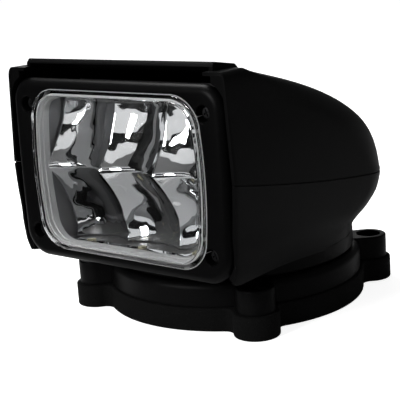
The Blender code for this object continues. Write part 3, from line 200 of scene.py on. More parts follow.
def makeSteel(name, dark, light, turn, rough):  # steel brushed in one direction
    made, shader, place = newMaterial(name)
    lines = place.stretched((90, 90, 4200), turn).noise(1.0, 3.0)
    cloud = place.noise(50, 3.0)
    fit(shader, Base_Color=(lines * 0.6 + cloud * 0.4).tint(dark, light), Metallic=1.0,
        Roughness=rough + lines * 0.14, Normal=lines.bump(0.25, 0.00003))
    return made


def makeBoard(name, mask, trace, copper):  # circuit board: straight tracks under the mask, small bright pads
    made, shader, place = newMaterial(name)

    def bands(direction, scale):
        inputs = {"Vector": place, "Scale": scale, "Distortion": 0.0}
        return place.add("ShaderNodeTexWave", {"bands_direction": direction}, inputs)

    where = place.noise(70, 1.0).between(0.5, 0.52)
    tracks = bands("X", 90.0).between(0.7, 0.75) * where + bands("Z", 70.0).between(0.8, 0.85) * (1 - where)
    dots = place.add("ShaderNodeTexVoronoi", {"feature": "F1"}, {"Vector": place, "Scale": 260.0})
    pads = 1 - dots.between(0.16, 0.2)
    colour = place.add("ShaderNodeMix", {"data_type": "RGBA"},
                       {"Factor": pads * 0.8, 6: tracks.tint(mask, trace), 7: (*copper, 1)}, 2)
    fit(shader, Base_Color=colour, Roughness=0.42 - pads * 0.12, Metallic=pads * 0.7,
        Normal=(tracks + pads).bump(0.3, 0.00004))
    return made


def makeEmitter(name):  # phosphor, its tone varied by a fine grain
    made, shader, place = newMaterial(name)
    grain = place.noise(2600, 2.0)
    fit(shader, Base_Color=grain.tint((0.5, 0.46, 0.3), (0.6, 0.57, 0.42)), Roughness=0.32 + grain * 0.1,
        Coat_Weight=0.5, Normal=grain.bump(0.2, 0.00003))
    return made


looks = {
    "black_plastic": makeMoulded("shellPlastic", mouldedLook),
    "bezel_plastic": makeMoulded("bezelPlastic", {**mouldedLook, "rough": 0.36, "strength": 0.35}),
    "black_foam": makeFoam("gasketFoam"),
    "seal_rubber": makeRubber("sealRubber"),
    "white_acetal": makeAcetal("bushAcetal", (0.76, 0.76, 0.73), (0.68, 0.68, 0.65)),
    "gear_acetal": makeAcetal("gearAcetal", (0.72, 0.7, 0.64), (0.62, 0.6, 0.54)),
    "clear_plastic": makeLens("clearLens"),
    "chrome": makeChrome("reflectorChrome"),
    "collar": makePaintedHighlightSatin("collarSatinPaintedHighlight"),
    # the pale lens ring is a painted highlight for the light scattered in the clear lens rim
    "lens_rim_highlight": makeAcetal("lensRimHighlight", (0.9, 0.9, 0.9), (0.78, 0.78, 0.79)),
    "cast_aluminium": makeCast("castAluminium"),
    # the stainless steel is coloured almost black, a painted shade for the screws deep in the frame's
    # recesses
    "stainless": makeSteel("stainlessPaintedShade", (0.03, 0.03, 0.032), (0.07, 0.07, 0.072), (0.4, 0.2, 0), 0.4),
    "sheet_steel": makeSteel("sheetSteel", (0.42, 0.42, 0.43), (0.56, 0.56, 0.57), (0, 0.1, 0), 0.32),
    "motor_steel": makeSteel("motorSteel", (0.3, 0.3, 0.31), (0.46, 0.46, 0.47), (1.57, 0, 0), 0.26),
    "board_green": makeBoard("boardGreen", (0.012, 0.1, 0.04), (0.03, 0.19, 0.08), (0.75, 0.6, 0.3)),
    # the white boards are coloured dark grey, a painted shade for their dim look behind the lens
    "board_white": makeBoard("boardWhitePaintedShade", (0.09, 0.09, 0.09), (0.12, 0.12, 0.12), (0.3, 0.27, 0.2)),
    "emitter_yellow": makeEmitter("emitterPhosphor"),
    "gland_nylon": makeMoulded("glandNylon", {
        **mouldedLook, "dark": (0.01, 0.01, 0.01), "light": (0.03, 0.03, 0.03), "rough": 0.45, "grain": 900}),
}

nodeSlots = {
    "black_plastic": ["base_housing", "base_cover", "lower_shell", "upper_shell"],
    "bezel_plastic": ["bezel"],
    "black_foam": ["mounting_gasket"],
    "seal_rubber": ["base_seal", "shell_seal", "lens_gasket"],
    "white_acetal": ["thrust_washer", "pan_bush", "trunnion_bush_left", "trunnion_bush_right"],
    "gear_acetal": ["pan_gear", "tilt_sector"],
    "clear_plastic": ["lens"],
    "chrome": ["reflector"],
    "cast_aluminium": ["lamp_body", "heat_sink"],
    "sheet_steel": ["yoke", "tilt_bracket", "motor_bracket"],
    "motor_steel": ["tilt_gearbox", "tilt_motor", "pan_gearbox", "pan_motor"],
    "board_green": ["control_board"],
    "board_white": ["led_board_upper", "led_board_lower"],
    "emitter_yellow": [f"led_{row}_{i + 1}" for row in ("upper", "lower") for i in range(3)],
    "gland_nylon": ["cable_gland", "gland_nut"],
}
slotOf = {node: slot for slot, nodes in nodeSlots.items() for node in nodes}
for name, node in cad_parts.items():
    node.data.materials.clear()
    node.data.materials.append(looks[slotOf.get(name, "stainless")])
print("materials made:", len(looks))


# Modelling helpers

mergeDistance = 1e-6  # points nearer than this are one point


def placed(bm, name):  # a new object in the scene, made of this bmesh
    mesh = bpy.data.meshes.new(name)
    bm.to_mesh(mesh)
    bm.free()
    piece = bpy.data.objects.new(name, mesh)
    scene.collection.objects.link(piece)
    return piece


def cleaned(bm, name):  # the same, merged and with its faces outwards
    bmesh.ops.remove_doubles(bm, verts=bm.verts, dist=mergeDistance)
    bmesh.ops.recalc_face_normals(bm, faces=bm.faces)
    return placed(bm, name)


def putOut(bm, name, body, slotName, replaced=(), sharp=32, look=None):  # the finished piece, on its body
    piece = cleaned(bm, name)
    mesh = piece.data
    mesh.shade_smooth()
    mesh.set_sharp_from_angle(angle=math.radians(sharp))
    mesh.materials.append(looks[look or slotName])
    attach(piece, body)
    if replaced:
        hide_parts(*replaced)
    return piece


def solidOf(bm):  # a shape that is only used to carve or join another
    return cleaned(bm, "tool")


def combine(piece, operation, tools, solver="EXACT"):  # Booleans applied at once, and the tools removed
    for tool in tools:
        step = piece.modifiers.new(operation.lower(), "BOOLEAN")
        step.operation = operation
        step.object = tool
        step.solver = solver
    graph = bpy.context.evaluated_depsgraph_get()
    mesh = bpy.data.meshes.new_from_object(piece.evaluated_get(graph))
    piece.modifiers.clear()
    piece.data = mesh
    for tool in tools:
        bpy.data.objects.remove(tool)


def meshOf(piece):  # takes a helper solid back into a bmesh
    bm = bmesh.new()
    bm.from_mesh(piece.data)
    bpy.data.objects.remove(piece)
    return bm


def turned(profile, steps, centre=(0, 0)):  # an outline of (radius, height) points spun round an upright axis
    bm = bmesh.new()
    corners = [bm.verts.new((centre[0] + radius, centre[1], height)) for radius, height in profile]
    edges = [bm.edges.new(pair) for pair in zip(corners, corners[1:] + corners[:1])]
    bmesh.ops.spin(bm, geom=corners + edges, cent=(*centre, 0), axis=(0, 0, 1), angle=2 * math.pi,
                   steps=steps, use_merge=True)
    bmesh.ops.remove_doubles(bm, verts=bm.verts, dist=mergeDistance)
    return bm


def bar(radius, low, high, centre, sides=32, along="Z"):  # a round bar, upright or along Y
    bm = bmesh.new()
    bmesh.ops.create_cone(bm, cap_ends=True, segments=sides, radius1=radius, radius2=radius, depth=high - low)
    if along == "Y":
        bmesh.ops.rotate(bm, verts=bm.verts, matrix=Matrix.Rotation(-math.pi / 2, 3, "X"))
        bmesh.ops.translate(bm, verts=bm.verts, vec=(centre[0], (low + high) / 2, centre[1]))
    else:
        bmesh.ops.translate(bm, verts=bm.verts, vec=(*centre, (low + high) / 2))
    return bm


def sweepRings(bm, rings, closed=True):  # extrudes the first ring through the points of those after it
    row = [bm.verts.new(point) for point in rings[0]]
    edges = [bm.edges.new(pair) for pair in zip(row, row[1:])]
    if closed:
        edges.append(bm.edges.new((row[-1], row[0])))
    firstRow, firstEdges = row, edges
    for ring in rings[1:]:
        made = bmesh.ops.extrude_edge_only(bm, edges=edges)["geom"]
        fresh = {item for item in made if isinstance(item, bmesh.types.BMVert)}
        edges = [item for item in made if isinstance(item, bmesh.types.BMEdge) and set(item.verts) <= fresh]
        row = [next(edge.other_vert(vert) for edge in vert.link_edges if edge.other_vert(vert) in fresh)
               for vert in row]
        for vert, point in zip(row, ring):
            vert.co = point
    return firstRow, firstEdges, row, edges


def closedSweep(rings):  # a ring-shaped body whose last ring meets its first
    bm = bmesh.new()
    _, firstEdges, _, lastEdges = sweepRings(bm, rings)
    bmesh.ops.bridge_loops(bm, edges=firstEdges + lastEdges)
    return bm


def prism(outline, start, end, along="Z"):  # an outline in the two other directions, extruded along this one
    bm = bmesh.new()
    axis = "XYZ".index(along)
    face = bm.faces.new([bm.verts.new((*point[:axis], start, *point[axis:])) for point in outline])
    moved = bmesh.ops.extrude_face_region(bm, geom=[face])["geom"]
    step = [0, 0, 0]
    step[axis] = end - start
    bmesh.ops.translate(bm, vec=step, verts=[item for item in moved if isinstance(item, bmesh.types.BMVert)])
    return bm


def openSkin(bm, name, thickness, even):  # an open U-shaped surface, faced outwards and walled inwards
    bmesh.ops.recalc_face_normals(bm, faces=bm.faces)
    rightmost = max(bm.faces, key=lambda face: face.calc_center_median().x)
    if rightmost.normal.x < 0:
        bmesh.ops.reverse_faces(bm, faces=bm.faces)
    skin = placed(bm, name)
    wall = skin.modifiers.new("wall", "SOLIDIFY")
    wall.thickness = thickness
    wall.offset = -1
    wall.use_even_offset = even
    return skin


def arc(centreU, centreV, radius, begin, end, steps):  # points on a part of a circle
    turns = [begin + (end - begin) * i / steps for i in range(steps + 1)]
    return [(centreU + radius * math.cos(turn), centreV + radius * math.sin(turn)) for turn in turns]


def smoothTable(table, at):  # a smooth curve through (place, value) pairs
    last = len(table) - 1
    slopes = []
    for i in range(last + 1):
        low, high = table[max(0, i - 1)], table[min(last, i + 1)]
        slopes.append((high[1] - low[1]) / (high[0] - low[0]))
    for i in range(last):
        (low, first), (high, second) = table[i], table[i + 1]
        if at <= high or i == last - 1:
            span = high - low
            share = (at - low) / span
            square, cube = share**2, share**3
            return ((2 * cube - 3 * square + 1) * first + (cube - 2 * square + share) * span * slopes[i]
                    + (3 * square - 2 * cube) * second + (cube - square) * span * slopes[i + 1])


# Base

base = {
    "gasketHeight": 0.0148, "gasketRadius": 0.0852, "gasketEar": 0.0141, "gasketBlend": 0.006,
    "foamEdge": 0.0009, "ear": 0.065, "earRadius": 0.0116, "earEdge": 0.0011, "earRoot": 0.068,
    "drum": 0.0833, "drumTop": 0.0297, "drumRounding": 0.0044, "drumWall": 0.0032, "hole": 0.00275,
    "counterbore": 0.0078, "counterboreDepth": 0.0105, "sinkEdge": 0.0004, "sinkFlare": 0.0007,
    "gland": (0, 0.042), "glandClear": 0.0123, "post": 0.014, "postBore": 0.009, "postTop": 0.0585,
    "postFoot": 0.0187, "postEdge": 0.0006, "gap": 0.0003}
cutLow, cutHigh = -0.01, 0.05  # well below and well above the base
earPlaces = [(x, y) for x in (-base["ear"], base["ear"]) for y in (-base["ear"], base["ear"])]


def gasketOutline(disc, ear, blend):  # a disc and four round ears with hollow blends between them
    reach = base["ear"] * math.sqrt(2)
    toBlend = disc + blend
    turn = math.acos((toBlend**2 + reach**2 - (ear + blend) ** 2) / (2 * toBlend * reach))
    outline = []
    for quarter in range(4):
        middle = math.pi / 4 + quarter * math.pi / 2
        earU, earV = reach * math.cos(middle), reach * math.sin(middle)
        firstU, firstV = toBlend * math.cos(middle - turn), toBlend * math.sin(middle - turn)
        swing = math.atan2(firstV - earV, firstU - earU) - middle
        swing = abs((swing + math.pi) % (2 * math.pi) - math.pi)
        inward = math.pi + middle
        outline += arc(0, 0, disc, middle - math.pi / 2 + turn, middle - turn, 28)[1:]
        outline += arc(firstU, firstV, blend, inward - turn, inward - swing, 6)[1:]
        outline += arc(earU, earV, ear, middle - swing, middle + swing, 28)[1:]
        lastU, lastV = toBlend * math.cos(middle + turn), toBlend * math.sin(middle + turn)
        outline += arc(lastU, lastV, blend, inward + swing, inward + turn, 6)[1:]
    return outline


def roundRim(bm, width, segments, pick):  # rounds the edges that pick chooses
    edges = [edge for edge in bm.edges if pick(edge)]
    bmesh.ops.bevel(bm, geom=edges, offset=width, segments=segments, affect="EDGES", profile=0.5, material=-1,
                    offset_type="OFFSET", clamp_overlap=True)


def atHeight(height):
    return lambda edge: all(abs(vert.co.z - height) < mergeDistance for vert in edge.verts)


foamOutline = gasketOutline(base["gasketRadius"], base["gasketEar"], base["gasketBlend"])
foam = prism(foamOutline, 0, base["gasketHeight"])
roundRim(foam, base["foamEdge"], 3, lambda edge: atHeight(0)(edge) or atHeight(base["gasketHeight"])(edge))
foam = solidOf(foam)
combine(foam, "DIFFERENCE", [solidOf(bar(base["glandClear"], cutLow, cutHigh, base["gland"], 48))]
        + [solidOf(bar(base["hole"], cutLow, cutHigh, place, 20)) for place in earPlaces])
putOut(meshOf(foam), "foamGasket", "base", "black_foam", ["mounting_gasket"])


def earTongue(place, reach, low, high):  # an ear that runs back into the drum, with a rounded top edge
    x, y = place
    outward = math.atan2(y, x)
    root = base["earRoot"] / math.hypot(x, y)
    outline = arc(x, y, reach, outward - math.pi / 2, outward + math.pi / 2, 28)
    outline += [(x * root - reach * math.sin(outward), y * root + reach * math.cos(outward)),
                (x * root + reach * math.sin(outward), y * root - reach * math.cos(outward))]
    bm = prism(outline, low, high)
    roundRim(bm, base["earEdge"], 4, atHeight(high))
    return bm


low = base["gasketHeight"] + base["gap"]
ceiling = base["drumTop"] - base["drumWall"]
innerDrum = base["drum"] - base["drumWall"]
inPost = (base["post"] + base["postBore"]) / 2
profile = [(inPost, ceiling), (innerDrum, ceiling), (innerDrum, low), (base["drum"], low)]
rounding = base["drumRounding"]
profile += arc(base["drum"] - rounding, base["drumTop"] - rounding, rounding, 0, math.pi / 2, 10)
profile += [(inPost, base["drumTop"])]
housing = solidOf(turned(profile, 180))
postProfile = [(base["postBore"], base["postFoot"]), (base["post"], base["postFoot"]),
               (base["post"], base["postTop"] - base["postEdge"]),
               (base["post"] - base["postEdge"], base["postTop"]), (base["postBore"], base["postTop"])]
earTop = base["drumTop"] + base["gap"]
joined = [solidOf(turned(postProfile, 72))]
joined += [solidOf(earTongue(place, base["earRadius"], low, earTop)) for place in earPlaces]
combine(housing, "UNION", joined)
sinkFloor = base["drumTop"] - base["counterboreDepth"]
bore = base["counterbore"]
flared = bore + base["sinkFlare"]
sinkProfile = [(0, sinkFloor), (bore - base["sinkEdge"], sinkFloor), (bore, sinkFloor + base["sinkEdge"]),
               (bore, earTop - 0.0005), (flared, earTop + 0.0002), (flared, cutHigh), (0, cutHigh)]
cuts = [solidOf(turned(sinkProfile, 56, place)) for place in earPlaces]
cuts += [solidOf(bar(base["hole"], 0, cutHigh, place, 32)) for place in earPlaces]
combine(housing, "DIFFERENCE", cuts)
putOut(meshOf(housing), "baseDrum", "base", "black_plastic", ["base_housing"])
print("base made")


# Head shells

shell = {"front": -0.107, "rear": 0.087, "width": 0.168, "top": 0.161, "bow": 0.004, "wall": 0.002,
         "partingRear": 0.0745, "partingRise": 0.0265, "partingGap": 0.0011, "cheek": 0.0425, "neck": 0.0375,
         "neckFront": -0.07, "neckRun": 0.09, "lift": 0.0025, "liftRun": 0.009, "rake": 0.0015,
         "turntable": 0.079, "turntableLow": 0.0303, "turntableWall": 0.005, "turntableEdge": 0.0015,
         "floor": 0.041, "floorTop": 0.0435, "floorFront": -0.076, "floorInset": 0.0072, "floorRear": 0.01,
         "floorCorner": 0.0765, "hubBore": 0.0173, "hubRadius": 0.0211, "hubLow": 0.033,
         "hubHigh": 0.046, "hubHole": 0.0192, "rimEdge": 0.0007, "lipDepth": 0.004, "sideSteps": 12,
         "cornerSteps": 18}
dome = {"lean": 0.0004, "topInset": 0.0028, "topPower": 36, "flare": 0.0028, "leastFlare": 0.0008,
        "ridge": -0.082, "fullness": 2.49, "steepness": 1.292, "reachFall": 0.0156, "corner": 0.0474,
        "cornerFall": 0.042, "crisp": 2, "crispFall": 0.229, "frontOpen": 0.004, "roomTop": 0.975}
hood = {"half": 0.0728, "top": 0.1658, "front": -0.1015, "rear": -0.0795, "fall": 0.003, "wall": 0.0028,
        "lipRun": 0.0018, "lipFall": 0.0022, "rearRun": 0.0025, "edge": 0.0006, "sunk": 0.0014,
        "roomRear": -0.066, "roomFall": 0.0085, "roomLow": 0.14, "faceHalf": 0.075}
sideReach = [  # share of the way up, then where the straight side ends
    (0.0, 0.039), (0.2, 0.024), (0.4, -0.001), (0.55, -0.035), (0.66, -0.06), (0.75, -0.072), (0.84, -0.081),
    (0.923, -0.091), (1.0, -0.1015)]
lowerLevels = {  # share of the way down, then the change
    "inset": [(0, 0), (0.05, 0), (0.3, -0.0003), (0.52, -0.0008), (0.66, -0.0019), (0.77, -0.0033),
              (0.89, -0.0046), (1, -0.0056)],
    "flare": [(0, 0.0036), (0.05, 0.0034), (0.3, 0.0028), (0.52, 0.0022), (0.66, 0.0034), (0.77, 0.0043),
              (0.89, 0.0048), (1, 0.0032)],
    "rear": [(0, 0), (0.05, 0), (0.3, -0.002), (0.52, -0.007), (0.66, -0.0125), (0.77, -0.012),
             (0.89, -0.009), (1, -0.0086)],
    "corner": [(0, 0.048), (0.05, 0.048), (0.3, 0.052), (0.52, 0.06), (0.66, 0.066), (0.77, 0.073),
               (0.89, 0.0772), (1, 0.0778)],
}


def partingHeight(y):  # the seam between the two shells
    run = max(0.0, (shell["rear"] - y) / (shell["rear"] - shell["front"]))
    return shell["partingRear"] + shell["partingRise"] * run**1.5


def lowerEdge(y):  # the lower shell's edge, from the cheeks back to the neck
    run = min(1.0, max(0.0, (y - shell["neckFront"]) / shell["neckRun"]))
    lift = max(0.0, (shell["front"] + shell["liftRun"] - y) / shell["liftRun"])
    drop = shell["neck"] - shell["cheek"]
    return shell["cheek"] + drop * run * run * (3 - 2 * run) + shell["lift"] * lift**2


def planPoints(half, flare, rear, corner, depth=None, crisp=2.0, front=shell["front"]):
    depth = depth or corner
    cornerY = rear - depth
    points = []  # the right half of the plan, from the front to the rear
    for i in range(shell["sideSteps"]):
        station = (i / shell["sideSteps"]) ** 1.5
        points.append((half + flare * (1 - station) ** 1.3, front + (cornerY - front) * station))
    for i in range(shell["cornerSteps"] + 1):
        turn = math.pi / 2 * i / shell["cornerSteps"]
        across = abs(math.cos(turn)) ** (2 / crisp)
        points.append((half - corner + corner * across, cornerY + depth * math.sin(turn) ** (2 / crisp)))
    points += [((half - corner) * share, rear) for share in (0.75, 0.5, 0.25)]
    return [(x, y - shell["bow"] * (x / half) ** 2 * max(0.0, y - cornerY) / depth) for x, y in points]


def shellRing(level, height):
    halfPlan = planPoints(*level)
    plan = [(-x, y) for x, y in halfPlan] + [(0, level[2])] + list(reversed(halfPlan))
    return [Vector((x, y, height(y))) for x, y in plan]


def domeLevel(share):  # the plan of the dome at a share of its height
    half = shell["width"] / 2 - dome["lean"] * share - dome["topInset"] * share ** dome["topPower"]
    flare = dome["flare"] * (1 - share) + dome["leastFlare"]
    reach = (1 - share ** dome["fullness"]) ** dome["steepness"]
    rear = dome["ridge"] + (shell["rear"] - dome["ridge"]) * reach
    corner = dome["corner"] - dome["cornerFall"] * share
    depth = rear - smoothTable(sideReach, share) - dome["reachFall"] * share**2
    return half, flare, rear, corner, depth, dome["crisp"] - dome["crispFall"] * share**6


def domeHeight(share, y):
    low = partingHeight(y) + shell["partingGap"] / 2
    return low + (shell["top"] - low) * share


def closeAcross(bm, row):  # faces from one side of a ring to the other
    middle = len(row) // 2
    for i in range(middle - 1):
        bm.faces.new((row[i], row[i + 1], row[-2 - i], row[-1 - i]))
    bm.faces.new((row[middle - 1], row[middle], row[middle + 1]))


def filledRings(rings):  # a solid through U-shaped rings, closed across its front and both its ends
    bm = bmesh.new()
    firstRow, _, lastRow, _ = sweepRings(bm, rings)
    closeAcross(bm, firstRow)
    closeAcross(bm, lastRow)
    return solidOf(bm)


steadyShare = 0.03  # below this the dome keeps the plan of its foot
levelShares = [0, 0.008, steadyShare] + [steadyShare + 0.87 * i / 22 for i in range(1, 23)]
levelShares += [0.92, 0.94, 0.955, 0.97, 0.98, 0.988, 0.994, 1]


def innerLevel(share):
    half, flare, rear, corner, depth, crisp = domeLevel(share)
    wall = shell["wall"]
    return half - wall, flare, rear - wall - 0.002 * share**4, corner - wall * 0.5, depth - wall * 0.5, crisp


def pulledOut(point):  # a point of the room, moved out through the front where it lies there
    atFront = point.y < shell["front"] + 0.0001
    return Vector((point.x, point.y - (dome["frontOpen"] if atFront else 0), point.z))


faceTop = shell["top"] - shell["wall"]
domeRings = [shellRing(domeLevel(0 if share < steadyShare else share),
                       lambda y, share=share: domeHeight(share, y)) for share in levelShares]
domeShell = filledRings(domeRings)
room = [shellRing(innerLevel(0), lambda y: partingHeight(y) - dome["frontOpen"])]
room += [shellRing(innerLevel(share), lambda y, share=share: min(domeHeight(share, y), faceTop))
         for share in levelShares if share < dome["roomTop"]]
hollow = filledRings([[pulledOut(point) for point in ring] for ring in room])


def barrelQuarter(half, rise, corner, bulge, cornerSteps=14, sideSteps=8):  # its upper right quarter
    straight = rise - corner
    quarter = [(half - bulge * (straight * i / sideSteps / rise) ** 2, straight * i / sideSteps)
               for i in range(sideSteps)]
    centre = half - bulge * (straight / rise) ** 2 - corner
    quarter += arc(centre, straight, corner, 0, math.pi / 2, cornerSteps)
    return quarter + [(centre * share, rise) for share in (0.66, 0.33)]


def barrel(half, rise, corner, bulge, lowCorner=None):  # a rectangle with round corners and bowed sides
    upper = barrelQuarter(half, rise, corner, bulge)
    lower = [(u, -v) for u, v in barrelQuarter(half, rise, lowCorner or corner, bulge)[1:]]
    top = upper + [(0, rise)] + [(-u, v) for u, v in reversed(upper)]
    return top + [(-u, v) for u, v in lower] + [(0, -rise)] + list(reversed(lower))


bezel = {
    "front": -0.1085, "depth": 0.0125, "half": 0.0824, "rise": 0.056, "corner": 0.0145, "lowCorner": 0.0175,
    "rounding": 0.005, "bulge": 0.001, "draft": 0.003, "z": 0.0986, "screwX": 0.069, "screwRise": 0.0399,
    "recess": 0.0047, "recessDepth": 0.0065, "clear": 0.0003, "rebate": 0.005, "screwBore": 0.0021}
lens = {"z": 0.0989, "front": -0.1103, "half": 0.0678, "rise": 0.0494, "corner": 0.0195, "bulge": 0.0045,
        "wall": 0.0026, "flange": 0.002}

surround = {"inset": 0.0003, "back": 0.0038, "topInset": 0.003, "side": 0.003, "above": 0.0016,
            "room": 0.005, "cutFront": -0.12, "cutBack": -0.09}  # the shell's face round the lamp
right = []
for share in [i / 20 for i in range(20)] + [0.97]:
    half, flare = domeLevel(share)[:2]
    right.append((half + flare - surround["inset"], domeHeight(share, shell["front"])))
right.append((right[-1][0] - surround["topInset"], shell["top"] - surround["inset"]))
faceOutline = right + [(-u, v) for u, v in reversed(right)]
faceFrame = solidOf(prism(faceOutline, shell["front"] + surround["inset"],
                          shell["front"] + surround["back"], "Y"))
opening = barrel(bezel["half"] + surround["side"], bezel["rise"] + surround["above"], bezel["corner"],
                 bezel["bulge"] * 3)
opening = [(u, v + bezel["z"]) for u, v in opening]
combine(faceFrame, "DIFFERENCE", [solidOf(prism(opening, surround["cutFront"], surround["cutBack"], "Y"))])

lip = hood["front"] + hood["lipRun"]
under = shell["top"] - hood["sunk"]
rearTop = hood["rear"] - hood["rearRun"]
hoodOutline = [(hood["front"], hood["top"] - hood["lipFall"]), (lip, hood["top"]),
               (rearTop, hood["top"] - hood["fall"]), (hood["rear"], shell["top"] - hood["edge"]),
               (hood["rear"], under), (hood["front"], under)]
hoodBlock = prism(hoodOutline, -hood["half"], hood["half"], "X")
aboveDome = shell["top"] + 0.001
roundRim(hoodBlock, hood["edge"], 3, lambda edge: min(vert.co.z for vert in edge.verts) > aboveDome)
frontEnd = shell["front"] - 0.01  # well in front of the face
roof = hood["top"] - hood["wall"]
hoodRoom = [(frontEnd, roof), (lip, roof), (rearTop, roof - hood["fall"]),
            (hood["roomRear"], roof - hood["fall"] - hood["roomFall"]), (hood["roomRear"], hood["roomLow"]),
            (frontEnd, hood["roomLow"])]
inner = hood["half"] - hood["wall"]
roomBack = shell["front"] + surround["room"]
faceRoom = [(frontEnd, faceTop), (roomBack, faceTop), (roomBack, bezel["z"]), (frontEnd, bezel["z"])]


def outerFront(edge, limit):  # an edge between a shell's side and its front end
    if len(edge.link_faces) != 2 or max(vert.co.y for vert in edge.verts) > limit:
        return False
    front, side = sorted(edge.link_faces, key=lambda face: face.normal.y)
    outward = side.normal.x * edge.verts[0].co.x > 0
    return front.normal.y < -0.85 and abs(side.normal.y) < 0.3 and outward


combine(domeShell, "UNION", [solidOf(hoodBlock)], "MANIFOLD")
combine(domeShell, "DIFFERENCE", [hollow], "MANIFOLD")
combine(domeShell, "UNION", [faceFrame], "MANIFOLD")
rooms = [solidOf(prism(hoodRoom, -inner, inner, "X")),
         solidOf(prism(faceRoom, -hood["faceHalf"], hood["faceHalf"], "X"))]
combine(domeShell, "DIFFERENCE", rooms, "MANIFOLD")
bm = meshOf(domeShell)
roundRim(bm, shell["rimEdge"], 3, lambda edge: outerFront(edge, shell["front"] + 0.0004))
putOut(bm, "upperShell", "head", "black_plastic", ["upper_shell"], 38)
print("upper shell made")


def lowerRing(share):  # the lower shell's plan at a share of the way down
    inset, flare, rear, corner = (smoothTable(table, share) for table in lowerLevels.values())
    front = shell["front"] + shell["rake"] * share**2
    level = (shell["width"] / 2 + inset, flare, shell["rear"] + min(0.0, rear), corner, None, 2.0, front)

    def height(y):
        high = partingHeight(y) - shell["partingGap"] / 2
        return high + (lowerEdge(y) - high) * share

    return shellRing(level, height)


cheeks = bmesh.new()
sweepRings(cheeks, [lowerRing(share) for share in [0, 0.012] + [0.03 + 0.97 * i / 30 for i in range(31)]],
           closed=False)
cheekShell = openSkin(cheeks, "cheekShell", shell["wall"], True)
foot = shell["turntable"] - shell["turntableWall"]
tableEdge = shell["turntableEdge"]
tableTop = shell["floorTop"] - 0.0005
tableProfile = [(foot, tableTop), (foot, shell["turntableLow"])]
tableProfile += arc(shell["turntable"] - tableEdge, shell["turntableLow"] + tableEdge, tableEdge,
                    -math.pi / 2, 0, 5)
tableProfile += [(shell["turntable"], shell["floor"] - 0.001), (shell["turntable"] - 0.003, tableTop)]
floorPlan = planPoints(shell["width"] / 2 - shell["floorInset"], 0, shell["rear"] - shell["floorRear"],
                       shell["floorCorner"])
plan = [(x, y) for x, y in floorPlan if y > shell["floorFront"]]
plan = [(plan[0][0] - 0.004, shell["floorFront"])] + plan
plan += [(0, plan[-1][1])] + [(-x, y) for x, y in reversed(plan)]
deck = solidOf(prism(plan, shell["floor"] + 0.0003, shell["floorTop"]))
combine(deck, "DIFFERENCE", [solidOf(bar(shell["hubHole"], 0, 0.1, (0, 0), 64))])
hub = [(shell["hubBore"], shell["hubLow"]), (shell["hubRadius"], shell["hubLow"]),
       (shell["hubRadius"], shell["hubHigh"]), (shell["hubBore"], shell["hubHigh"])]
combine(deck, "UNION", [solidOf(turned(tableProfile, 180)), solidOf(turned(hub, 64))])
lipFront = shell["front"] + shell["rake"] + 0.0003
lipLow = shell["cheek"] + shell["lift"]
lipPoints = [  # out from the lamp frame's side, then up from the cheek's edge
    (0.0006, 0.0135), (-0.0002, 0.0105), (-0.001, 0.0075), (-0.0023, 0.005), (-0.0038, 0.0033),
    (-0.0038, 0.0016), (-0.0026, 0.0009), (-0.0002, 0.0012), (0.0008, 0.006)]
lips = []
for sign in (-1, 1):
    outline = [(sign * (bezel["half"] + u), lipLow + v) for u, v in lipPoints]
    lips.append(solidOf(prism(outline, lipFront, lipFront + shell["lipDepth"], "Y")))
seam = {"inset": 0.001, "flare": 0.0035, "corner": 0.0473, "below": 0.001, "above": 0.00048, "wall": 0.0009}
tongueLevel = (shell["width"] / 2 - seam["inset"], seam["flare"], shell["rear"] - seam["inset"],
               seam["corner"], None, 2.0, shell["front"] + 0.0001)
tongue = bmesh.new()
sweepRings(tongue, [shellRing(tongueLevel, lambda y, lift=lift: partingHeight(y) + lift)
                    for lift in (-seam["below"], seam["above"])], closed=False)
seamTongue = openSkin(tongue, "seamTongue", seam["wall"], False)
combine(cheekShell, "UNION", [deck, *lips, seamTongue])
bm = meshOf(cheekShell)
roundRim(bm, shell["rimEdge"], 3, lambda edge: outerFront(edge, shell["front"] + shell["rake"] + 0.0001))
putOut(bm, "lowerShell", "head", "black_plastic", ["lower_shell"], 38)
print("lower shell made")


# Lamp

leastCorner = 0.002  # no corner gets smaller than this


def faceRing(shape, y, inset):  # the outline of a frame or lens, drawn in by an inset
    half, rise, corner, bulge, lowCorner, centreZ = shape
    outline = barrel(half - inset, rise - inset, max(corner - inset, leastCorner), bulge,
                     max(lowCorner - inset, leastCorner))
    return [Vector((u, y, v + centreZ)) for u, v in outline]


bezelShape = [bezel[name] for name in ("half", "rise", "corner", "bulge", "lowCorner", "z")]
lensShape = [lens[name] for name in ("half", "rise", "corner", "bulge", "corner", "z")]
bezelBack = bezel["front"] + bezel["depth"]
rebate = bezelBack - bezel["rebate"]
clear = bezel["clear"]
rings = [faceRing(bezelShape, bezelBack, bezel["draft"])]
for i in range(11):
    turn = math.pi / 2 * i / 10
    rings.append(faceRing(bezelShape, bezel["front"] + bezel["rounding"] * (1 - math.sin(turn)),
                          bezel["rounding"] * (1 - math.cos(turn))))
openingSteps = [(bezel["front"], 0.0014), (bezel["front"] + 0.0003, 0.0006), (bezel["front"] + 0.0011, clear),
                (rebate, clear), (rebate, lens["flange"] + clear), (bezelBack, lens["flange"] + clear)]
rings += [faceRing(lensShape, y, -outset) for y, outset in openingSteps]
bezelRing = solidOf(closedSweep(rings))
screwPlaces = [(x, lens["z"] + rise) for rise in (-bezel["screwRise"], bezel["screwRise"])
               for x in (-bezel["screwX"], bezel["screwX"])]
seat = bezel["front"] + bezel["recessDepth"]


def facing(bm, place, y):  # turns an upright shape so that its top faces the front
    bmesh.ops.rotate(bm, verts=bm.verts, matrix=Matrix.Rotation(math.pi / 2, 3, "X"))
    bmesh.ops.translate(bm, verts=bm.verts, vec=(place[0], y, place[1]))
    return bm


